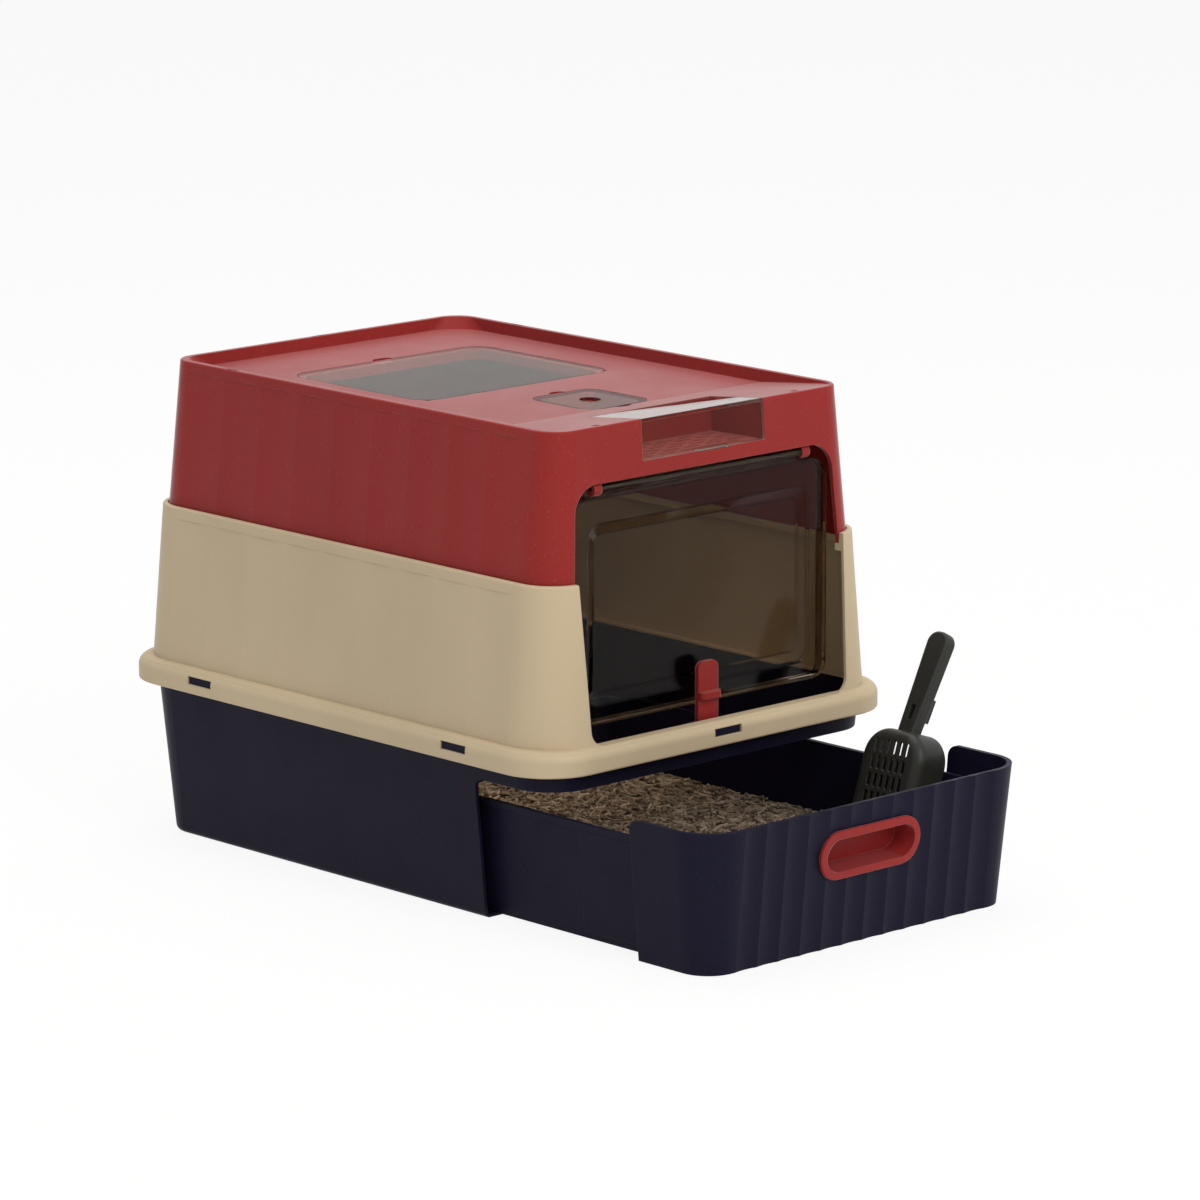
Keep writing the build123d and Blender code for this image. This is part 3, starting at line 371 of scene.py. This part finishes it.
@dataclass(frozen=True)
class MouldedPlastic:
    """Opaque moulded plastic with a fine mould texture, faint flow marks and paler edges, partly rubbed wear
    and partly painted highlight.
    """

    name: str
    colour: Colour
    speck_wear_and_highlight_colour: Colour
    roughness: Span
    specular: float
    sheen: float = 0.0
    sheen_roughness: float = 0.25
    refraction: float = 1.49
    edge: float = 0.0011
    grain: Grain = Grain.SATIN
    grain_strength: float = 0.55
    flow: Pattern = Pattern(5.0, 3.0, (1.0, 1.0, 0.35))
    flow_shares: Span = (0.91, 1.07)
    specks: Pattern = Pattern(420.0, band=(0.60, 0.80))
    speck_shares: Span = (0.0, 0.10)
    rub_and_highlight_patches: Pattern = Pattern(38.0, 3.0, band=(0.35, 0.75))
    rub_and_highlight_shares: Span = (0.10, 0.55)
    smears: Pattern = Pattern(22.0, 4.0)

    def material(self) -> bpy.types.Material:
        """Builds the material."""
        wiring = Wiring(self.name)
        tone = wiring.tones(wiring.noise(self.flow), self.colour, self.flow_shares)
        tone = wiring.blend(wiring.vary(self.specks, self.speck_shares), tone, self.speck_wear_and_highlight_colour)
        # Paler edges: partly rubbed wear, partly a painted highlight along the rounded edges.
        soft, rim = wiring.rounded(self.edge, WORN_AND_HIGHLIT_TURNS)
        rubbed_and_highlit = wiring.math("MULTIPLY", rim, wiring.vary(self.rub_and_highlight_patches, self.rub_and_highlight_shares))
        tone = wiring.blend(rubbed_and_highlit, tone, self.speck_wear_and_highlight_colour)
        smear = wiring.vary(self.smears, self.roughness)
        texture = wiring.noise(Pattern(self.grain.pitch))
        relief = wiring.bump(texture, self.grain.depth, self.grain_strength, soft)
        shader = wiring.add(
            "ShaderNodeBsdfPrincipled", base_color=tone, roughness=smear, normal=relief,
            specular_ior_level=self.specular, ior=self.refraction,
            sheen_weight=self.sheen, sheen_roughness=self.sheen_roughness,
        )
        return wiring.show(shader)


@dataclass(frozen=True)
class SmokyPlastic:
    """Clear smoky sheet with painted shade on its rims, faint ripples and fine scratches, which lets lamps
    through.
    """

    name: str
    tint: Colour
    rim_painted_shade_tint: Colour
    lamp_tint: Colour
    bend: float
    edge: float = 0.0014
    rim_turns: Span = (0.980, 0.9993)
    rim_painted_shade_share: float = 0.85
    clouds: Pattern = Pattern(14.0)
    cloud_shares: Span = (0.94, 1.05)
    scratches: Pattern = Pattern(900.0, 1.0, (1.0, 0.06, 0.06), (0.55, 0.80))
    haze: Span = (0.0, 0.012)
    ripples: Pattern = Pattern(26.0, 1.0)
    ripple_depth: float = 0.00008
    ripple_strength: float = 0.35

    def material(self) -> bpy.types.Material:
        """Builds the material."""
        wiring = Wiring(self.name)
        tone = wiring.tones(wiring.noise(self.clouds), self.tint, self.cloud_shares)
        haze = wiring.vary(self.scratches, self.haze)
        soft, rim = wiring.rounded(self.edge, self.rim_turns)
        # Painted shade: the rims of the sheet are darkened towards the rim tint.
        tone = wiring.blend(wiring.math("MULTIPLY", rim, self.rim_painted_shade_share), tone, self.rim_painted_shade_tint)
        relief = wiring.bump(wiring.noise(self.ripples), self.ripple_depth, self.ripple_strength, soft)
        sheet = wiring.add(
            "ShaderNodeBsdfPrincipled", base_color=tone, roughness=haze, normal=relief,
            transmission_weight=1.0, ior=self.bend,
        )
        clear = wiring.add("ShaderNodeBsdfTransparent", color=(*self.lamp_tint, 1.0))
        lamps = wiring.add("ShaderNodeLightPath").outputs["Is Shadow Ray"]
        return wiring.show(wiring.mix(lamps, sheet, clear))


@dataclass(frozen=True)
class DrawnSteel:
    """Drawn steel rod with fine lines along X."""

    name: str
    colour: Colour
    roughness: Span
    lines: Pattern = Pattern(2600.0, 2.0, (0.02, 1.0, 1.0))
    line_shares: Span = (0.8, 1.0)
    line_depth: float = 0.00002
    line_strength: float = 0.5

    def material(self) -> bpy.types.Material:
        """Builds the material."""
        wiring = Wiring(self.name)
        lines = wiring.noise(self.lines)
        tone = wiring.tones(lines, self.colour, self.line_shares)
        rough = wiring.spread(lines, self.roughness, self.lines.band)
        relief = wiring.bump(lines, self.line_depth, self.line_strength)
        shader = wiring.add(
            "ShaderNodeBsdfPrincipled", base_color=tone, roughness=rough, normal=relief, metallic=1.0)
        return wiring.show(shader)


@dataclass(frozen=True)
class PressedPellets:
    """Dry pressed plant fibre, a little different from pellet to pellet."""

    name: str
    stops: tuple[Stop, ...]
    attribute: str = "shade"
    fibres: Pattern = Pattern(1300.0, 3.0)
    fibre_shifts: Span = (-0.14, 0.14)
    dust: Pattern = Pattern(700.0)
    roughness: Span = (0.78, 0.96)
    pores: Pattern = Pattern(1700.0, 3.0)
    pore_depth: float = 0.0003
    pore_strength: float = 0.7
    specular: float = 0.2

    def material(self) -> bpy.types.Material:
        """Builds the material."""
        wiring = Wiring(self.name)
        own = wiring.tree.nodes.new("ShaderNodeAttribute")
        own.attribute_name = self.attribute
        shade = wiring.math("ADD", own.outputs["Fac"], wiring.vary(self.fibres, self.fibre_shifts))
        tone = wiring.ramp(shade, self.stops)
        rough = wiring.vary(self.dust, self.roughness)
        relief = wiring.bump(wiring.noise(self.pores), self.pore_depth, self.pore_strength)
        shader = wiring.add(
            "ShaderNodeBsdfPrincipled", base_color=tone, roughness=rough, normal=relief,
            specular_ior_level=self.specular,
        )
        return wiring.show(shader)


@dataclass(frozen=True)
class PaperFloor:
    """Seamless white paper that looks white to the camera and keeps the object's shadow."""

    name: str
    colour: Colour
    white_share: float
    pulp: Pattern = Pattern(90.0, 3.0)
    pulp_shares: Span = (0.985, 1.0)

    def material(self) -> bpy.types.Material:
        """Builds the material."""
        wiring = Wiring(self.name)
        pulp = wiring.tones(wiring.noise(self.pulp), self.colour, self.pulp_shares)
        paper = wiring.add("ShaderNodeBsdfDiffuse", color=pulp)
        white = wiring.add("ShaderNodeEmission", color=(*WHITE, 1.0), strength=1.0)
        share = wiring.math("MULTIPLY", seen_rays(wiring.tree), self.white_share)
        return wiring.show(wiring.mix(share, paper, white))


Finish = MouldedPlastic | SmokyPlastic | DrawnSteel | PressedPellets

# Each edge colour is paler than its body; it colours the specks and the edges, which are partly rubbed wear
# and partly painted highlight.
RED = MouldedPlastic(
    "red_moulding", colour=(0.262, 0.021, 0.019), speck_wear_and_highlight_colour=(0.58, 0.25, 0.23),
    roughness=(0.38, 0.50), specular=0.14, sheen=0.75,
)
CREAM = MouldedPlastic(
    "cream_moulding", colour=(0.535, 0.430, 0.285), speck_wear_and_highlight_colour=(0.72, 0.62, 0.46),
    roughness=(0.42, 0.55), specular=0.18,
)
NAVY = MouldedPlastic(
    "navy_moulding", colour=(0.0095, 0.0085, 0.0215), speck_wear_and_highlight_colour=(0.070, 0.068, 0.095),
    roughness=(0.36, 0.50), specular=0.07,
)
CHARCOAL = MouldedPlastic(
    "charcoal_moulding", colour=(0.022, 0.022, 0.019), speck_wear_and_highlight_colour=(0.12, 0.12, 0.11),
    roughness=(0.36, 0.50), specular=0.24, edge=0.0008, grain=Grain.FINE,
)
SMOKY_DOOR = SmokyPlastic(
    "smoky_door_sheet", tint=(0.61, 0.54, 0.45), rim_painted_shade_tint=(0.11, 0.08, 0.06), lamp_tint=(0.74, 0.68, 0.60),
    bend=1.17, edge=0.0028,
)
SMOKY_HATCH = SmokyPlastic(
    "smoky_hatch_sheet", tint=(0.62, 0.56, 0.50), rim_painted_shade_tint=(0.16, 0.13, 0.12), lamp_tint=(0.80, 0.76, 0.70),
    bend=1.19,
)
SMOKY_LID = SmokyPlastic(
    "smoky_lid_sheet", tint=(0.68, 0.62, 0.54), rim_painted_shade_tint=(0.14, 0.11, 0.09), lamp_tint=(0.80, 0.76, 0.70),
    bend=1.07,
)
STEEL = DrawnSteel("hinge_rod_steel", colour=(0.17, 0.165, 0.16), roughness=(0.26, 0.44))
LITTER = PressedPellets(
    "litter_pellets_fibre",
    stops=((0.05, (0.085, 0.064, 0.046)), (0.45, (0.205, 0.158, 0.115)), (0.95, (0.400, 0.325, 0.245))),
)
PAPER = PaperFloor("studio_paper", colour=(0.86, 0.86, 0.86), white_share=0.90)


@dataclass
class Shop:
    """Loaded CAD nodes and the materials made so far."""

    nodes: dict[str, bpy.types.Object]
    made: dict[str, bpy.types.Material] = field(default_factory=dict)

    def material(self, finish: Finish) -> bpy.types.Material:
        """Gives a finish's material, built once.

        Args:
            finish: the finish.

        Returns:
            Its material.
        """
        if finish.name not in self.made:
            self.made[finish.name] = finish.material()
        return self.made[finish.name]

    def dress(self, node: str, finish: Finish) -> None:
        """Puts a finish on a CAD node.

        Args:
            node: name of the node.
            finish: the finish.
        """
        mesh = self.nodes[node].data
        mesh.materials.clear()
        mesh.materials.append(self.material(finish))
        LOG.info("dressed %s in %s", node, finish.name)

    def piece(self, name: str, shape: bmesh.types.BMesh, finish: Finish, body: str) -> bpy.types.Object:
        """Makes an object of a shape, dresses it and lets it ride on a body.

        Args:
            name: name of the piece.
            shape: its shape, which is freed.
            finish: its finish.
            body: the CAD body that carries it.

        Returns:
            The object.
        """
        mesh = bpy.data.meshes.new(name)
        shape.to_mesh(mesh)
        shape.free()
        mesh.materials.append(self.material(finish))
        made = bpy.data.objects.new(name, mesh)
        bpy.context.scene.collection.objects.link(made)
        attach(made, body)
        LOG.info("made %s with %d faces", name, len(mesh.polygons))
        return made


@dataclass
class Shells:
    """Base tub, lower housing and top cover."""

    finishes: dict[str, MouldedPlastic] = field(
        default_factory=lambda: {"base_tub": NAVY, "lower_housing": CREAM, "top_cover": RED})

    def build(self, shop: Shop) -> None:
        """Dresses the three shells.

        Args:
            shop: nodes and materials.
        """
        for node, finish in self.finishes.items():
            shop.dress(node, finish)


@dataclass
class Door:
    """Clear flap, its rod and the latch."""

    sheet: SmokyPlastic = SMOKY_DOOR
    rod: DrawnSteel = STEEL
    latch: MouldedPlastic = RED

    def build(self, shop: Shop) -> None:
        """Dresses the door.

        Args:
            shop: nodes and materials.
        """
        shop.dress("flap_door", self.sheet)
        shop.dress("flap_hinge_rod", self.rod)
        shop.dress("door_latch", self.latch)


@dataclass
class DeckLids:
    """Skylight, deodoriser lid and cup, vent hatch and grille."""

    sheet: SmokyPlastic = SMOKY_LID
    hatch: SmokyPlastic = SMOKY_HATCH
    moulding: MouldedPlastic = RED

    def build(self, shop: Shop) -> None:
        """Dresses what lies in the deck.

        Args:
            shop: nodes and materials.
        """
        for node in ("skylight_lid", "deodoriser_lid"):
            shop.dress(node, self.sheet)
        shop.dress("vent_hatch", self.hatch)
        for node in ("deodoriser_cup", "vent_grille"):
            shop.dress(node, self.moulding)


@dataclass
class LitterDrawer:
    """Drawer front, handle, tray and the loose litter in it. Lengths are in metres."""

    moulding: MouldedPlastic = NAVY
    handle: MouldedPlastic = RED
    litter: PressedPellets = LITTER
    seed: int = 41
    corner: float = 0.017
    least_corner: float = 0.0005
    wall_gap: float = 0.0016
    wall_turn: float = 0.15
    pellet_sides: int = 6
    pellet_radius: float = 0.00118
    pellet_length: float = 0.0118
    pellet_chamfer: float = 0.0004
    length_shares: Span = (0.62, 1.12)
    size_shares: Span = (0.88, 1.08)
    height_slack: float = 0.0006
    shade_mean: float = 0.46
    shade_deviation: float = 0.23
    shade_limits: Span = (0.05, 0.98)
    crumb_depth: float = 0.0042
    crumb_thickness: float = 0.006
    crumb_cell: float = 0.005
    crumb_gap_shade: float = 0.02
    crumb_gap_shade_range: float = 0.20
    lump: float = 0.0011
    lump_pitch: float = 210.0
    lump_slice: float = 1.7
    mound: float = 0.0009
    mound_gain: float = 1.5
    mound_pitch: float = 17.0
    mound_slice: float = 0.3
    furrow_start: float = -0.419
    furrow_run: float = 0.03959
    furrow_depth: float = 0.0026
    scoop_patch: tuple[Span, Span] = ((0.132, 0.153), (-0.353, -0.279))

    def build(self, shop: Shop) -> None:
        """Dresses the drawer and fills the tray.

        Args:
            shop: nodes and materials.
        """
        shop.dress("drawer_front", self.moulding)
        shop.dress("litter_tray", self.moulding)
        shop.dress("drawer_handle", self.handle)
        low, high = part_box("litter_bed")
        crumbs = shop.piece("litter_crumbs", self.crumbs(low, high), self.litter, "drawer")
        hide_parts("litter_bed")
        for name, shape in self.pellets(low, high).items():
            shop.piece(name, shape, self.litter, "drawer")

    def swell(self, x: float, y: float) -> float:
        """Height of the raked litter over the crests of its furrows.

        Args:
            x: place across the drawer.
            y: place along it.

        Returns:
            The height in metres.
        """
        across = (y - self.furrow_start) / self.furrow_run % 1.0
        dip = self.furrow_depth * (1.0 - (2.0 * across - 1.0) ** 2)
        wave = noise.noise(Vector((x * self.mound_pitch, y * self.mound_pitch, self.mound_slice)))
        return self.mound * (wave * self.mound_gain) - dip

    def held(self, x: float, y: float, low: Vector, high: Vector, margin: float) -> tuple[float, float]:
        """Moves a place inwards to where the tray's walls and rounded corners leave room.

        Args:
            x: place across the drawer.
            y: place along it.
            low: lowest corner of the bed.
            high: highest corner of the bed.
            margin: distance that is kept from the walls.

        Returns:
            The place inside.
        """
        inner = max(self.corner - margin, self.least_corner)
        core_x = min(max(x, low.x + self.corner), high.x - self.corner)
        core_y = min(max(y, low.y + self.corner), high.y - self.corner)
        off = Vector((x - core_x, y - core_y))
        if off.length > inner:
            off = off.normalized() * inner
        return core_x + off.x, core_y + off.y

    def crumbs(self, low: Vector, high: Vector) -> bmesh.types.BMesh:
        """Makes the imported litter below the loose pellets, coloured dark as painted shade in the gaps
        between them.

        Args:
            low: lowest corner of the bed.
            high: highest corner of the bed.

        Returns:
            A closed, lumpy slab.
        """
        shape = bmesh.new()
        shade = shape.verts.layers.float.new(self.litter.attribute)
        size = high - low
        middle = (low + high) / 2
        spread = Matrix.Diagonal((size.x, size.y, 1.0, 1.0))
        bmesh.ops.create_grid(
            shape, x_segments=int(size.x / self.crumb_cell), y_segments=int(size.y / self.crumb_cell),
            size=0.5, matrix=Matrix.Translation((middle.x, middle.y, 0.0)) @ spread,
        )
        dice = random.Random(self.seed)
        for vert in shape.verts:
            x, y = self.held(vert.co.x, vert.co.y, low, high, self.wall_gap)
            wave = noise.noise(Vector((x * self.lump_pitch, y * self.lump_pitch, self.lump_slice)))
            vert.co = (x, y, high.z - self.crumb_depth + self.swell(x, y) + wave * self.lump)
            # Painted shade: the crumbs are much darker than the pellets, so the gaps between pellets look
            # shaded.
            vert[shade] = self.crumb_gap_shade + self.crumb_gap_shade_range * dice.random()
        bmesh.ops.solidify(shape, geom=shape.faces[:], thickness=self.crumb_thickness)
        bmesh.ops.recalc_face_normals(shape, faces=shape.faces[:])
        return shape

    def pellet(self) -> bpy.types.Mesh:
        """Makes one pellet, lying along X at the origin.

        Returns:
            Its mesh, with the attribute for its shade.
        """
        shape = bmesh.new()
        shape.verts.layers.float.new(self.litter.attribute)
        bmesh.ops.create_cone(
            shape, cap_ends=True, segments=self.pellet_sides, radius1=self.pellet_radius,
            radius2=self.pellet_radius, depth=self.pellet_length, matrix=Matrix.Rotation(math.pi / 2, 4, "Y"),
        )
        runs = {edge: abs(edge.verts[0].co.x - edge.verts[1].co.x) for edge in shape.edges}
        ends = [edge for edge, run in runs.items() if run < self.pellet_chamfer]
        bmesh.ops.bevel(
            shape, geom=ends, offset=self.pellet_chamfer, affect="EDGES", segments=1, profile=0.5,
            material=-1,
        )
        bmesh.ops.recalc_face_normals(shape, faces=shape.faces[:])
        mesh = bpy.data.meshes.new("pellet")
        shape.to_mesh(mesh)
        shape.free()
        return mesh

    def pellets(self, low: Vector, high: Vector) -> dict[str, bmesh.types.BMesh]:
        """Strews the loose pellets, layer by layer.

        Args:
            low: lowest corner of the bed.
            high: highest corner of the bed.

        Returns:
            The pellets of each quarter of the tray, by the quarter's name.
        """
        dice = random.Random(self.seed + 1)
        pattern = self.pellet()
        count = len(pattern.vertices)
        middle = (low + high) / 2
        across, along = self.scoop_patch
        darkest, palest = self.shade_limits
        quarters = {
            f"litter_{end}_{side}": bmesh.new() for end in ("front", "rear") for side in ("left", "right")}
        for layer in Layer:
            number, lift, tilt = layer.value
            for _ in range(number):
                place, turn, size = self.lay(dice, low, high, lift, tilt)
                if across[0] < place.x < across[1] and along[0] < place.y < along[1]:
                    place.z -= self.crumb_depth / 2
                stamp = pattern.copy()
                stamp.transform(Matrix.LocRotScale(place, turn, size))
                shade = min(max(dice.gauss(self.shade_mean, self.shade_deviation), darkest), palest)
                stamp.attributes[self.litter.attribute].data.foreach_set("value", [shade] * count)
                end = "front" if place.y < middle.y else "rear"
                side = "left" if place.x < middle.x else "right"
                quarters[f"litter_{end}_{side}"].from_mesh(stamp)
                bpy.data.meshes.remove(stamp)
        bpy.data.meshes.remove(pattern)
        return quarters

    def lay(
        self, dice: random.Random, low: Vector, high: Vector, lift: float, tilt: float
    ) -> tuple[Vector, Euler, Vector]:
        """Chooses where and how one pellet lies.

        Args:
            dice: source of chance.
            low: lowest corner of the bed.
            high: highest corner of the bed.
            lift: height of the pellet's layer over the bed's level.
            tilt: largest tilt in degrees.

        Returns:
            Place, turn and size of the pellet.
        """
        size = Vector((dice.uniform(*self.length_shares), 1.0, 1.0)) * dice.uniform(*self.size_shares)
        yaw = dice.uniform(0.0, math.tau)
        pitch = math.radians(dice.uniform(-tilt, tilt))
        half = self.pellet_length * size.x / 2
        x, y = dice.uniform(low.x, high.x), dice.uniform(low.y, high.y)
        near_side = min(x - low.x, high.x - x)
        near_end = min(y - low.y, high.y - y)
        if near_side < half:
            yaw = math.pi / 2 + dice.uniform(-self.wall_turn, self.wall_turn)
        elif near_end < half:
            yaw = dice.uniform(-self.wall_turn, self.wall_turn)
        margin = self.wall_gap + self.pellet_radius
        if min(near_side, near_end) < half and max(near_side, near_end) < self.corner:
            margin = half
        x, y = self.held(x, y, low, high, margin)
        z = high.z + lift + self.swell(x, y) + dice.uniform(-self.height_slack, self.height_slack)
        return Vector((x, y, z)), Euler((dice.uniform(0.0, math.tau), pitch, yaw)), size


@dataclass
class ScoopDress:
    """Slotted scoop that stands in the drawer."""

    moulding: MouldedPlastic = CHARCOAL

    def build(self, shop: Shop) -> None:
        """Dresses the scoop.

        Args:
            shop: nodes and materials.
        """
        shop.dress("scoop", self.moulding)


@dataclass(frozen=True)
class Softbox:
    """A large studio lamp."""

    name: str
    place: Point
    aim: Point
    size: float
    power: float
    colour: Colour

    def build(self) -> None:
        """Makes the lamp."""
        lamp = bpy.data.lights.new(self.name, "AREA")
        lamp.shape = "SQUARE"
        lamp.size = self.size
        lamp.energy = self.power
        lamp.color = self.colour
        made = bpy.data.objects.new(self.name, lamp)
        made.location = self.place
        made.rotation_euler = (Vector(self.aim) - Vector(self.place)).to_track_quat("-Z", "Y").to_euler()
        bpy.context.scene.collection.objects.link(made)


@dataclass
class Studio:
    """Floor, light and camera of the photograph."""

    camera_place: Point = (-3.42617, -3.74216, 1.310)
    azimuth: float = -43.37
    elevation: float = 12.25
    lens: float = 188.46
    sensor: float = 36.0
    clip: Span = (0.05, 200.0)
    floor_radius: float = 40.0
    floor_gap: float = 0.0004
    floor_sides: int = 96
    ambient: float = 0.50
    lamps: tuple[Softbox, ...] = (
        Softbox(
            "key_softbox", place=(-0.6, -3.7, 3.0), aim=(0.0, -0.1, 0.15), size=2.4, power=103.0,
            colour=(1.0, 0.97, 0.93),
        ),
        Softbox(
            "top_softbox", place=(0.3, 0.6, 3.2), aim=(0.0, 0.0, 0.2), size=2.6, power=60.0,
            colour=(1.0, 0.98, 0.96),
        ),
    )

    def build(self) -> None:
        """Builds the studio round the object."""
        bpy.context.scene.view_settings.view_transform = "Standard"
        self.lay_floor()
        self.light()
        self.stand_camera()
        for lamp in self.lamps:
            lamp.build()

    def lay_floor(self) -> None:
        """Lays the paper floor."""
        shape = bmesh.new()
        bmesh.ops.create_circle(
            shape, cap_ends=True, segments=self.floor_sides, radius=self.floor_radius,
            matrix=Matrix.Translation((0.0, 0.0, -self.floor_gap)),
        )
        mesh = bpy.data.meshes.new("studio_floor")
        shape.to_mesh(mesh)
        shape.free()
        mesh.materials.append(PAPER.material())
        floor = bpy.data.objects.new("studio_floor", mesh)
        bpy.context.scene.collection.objects.link(floor)

    def light(self) -> None:
        """Sets an even room light that looks white to the camera."""
        world = bpy.data.worlds.new("studio_room")
        bpy.context.scene.world = world
        world.use_nodes = True
        tree = world.node_tree
        back = next(node for node in tree.nodes if node.type == "BACKGROUND")
        back.inputs["Color"].default_value = (*WHITE, 1.0)
        strength = tree.nodes.new("ShaderNodeMapRange")
        tree.links.new(seen_rays(tree), strength.inputs["Value"])
        strength.inputs["To Min"].default_value = self.ambient
        strength.inputs["To Max"].default_value = 1.0
        tree.links.new(strength.outputs["Result"], back.inputs["Strength"])

    def stand_camera(self) -> None:
        """Stands the camera where the photograph was taken."""
        lens = bpy.data.cameras.new("photo_camera")
        lens.sensor_width = self.sensor
        lens.lens = self.lens
        lens.clip_start, lens.clip_end = self.clip
        made = bpy.data.objects.new("photo_camera", lens)
        turn, rise = math.radians(self.azimuth), math.radians(self.elevation)
        back = Vector((math.sin(turn) * math.cos(rise), -math.cos(turn) * math.cos(rise), math.sin(rise)))
        made.location = self.camera_place
        made.rotation_euler = (-back).to_track_quat("-Z", "Y").to_euler()
        bpy.context.scene.collection.objects.link(made)
        bpy.context.scene.camera = made


def main() -> None:
    """Loads the frame, builds the studio and dresses every sub-assembly."""
    logging.basicConfig(level=logging.INFO, format="%(name)s: %(message)s")
    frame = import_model()
    shop = Shop(frame["nodes"])
    Studio().build()
    for part in (Shells(), Door(), DeckLids(), LitterDrawer(), ScoopDress()):
        part.build(shop)


if __name__ == "__main__":
    main()
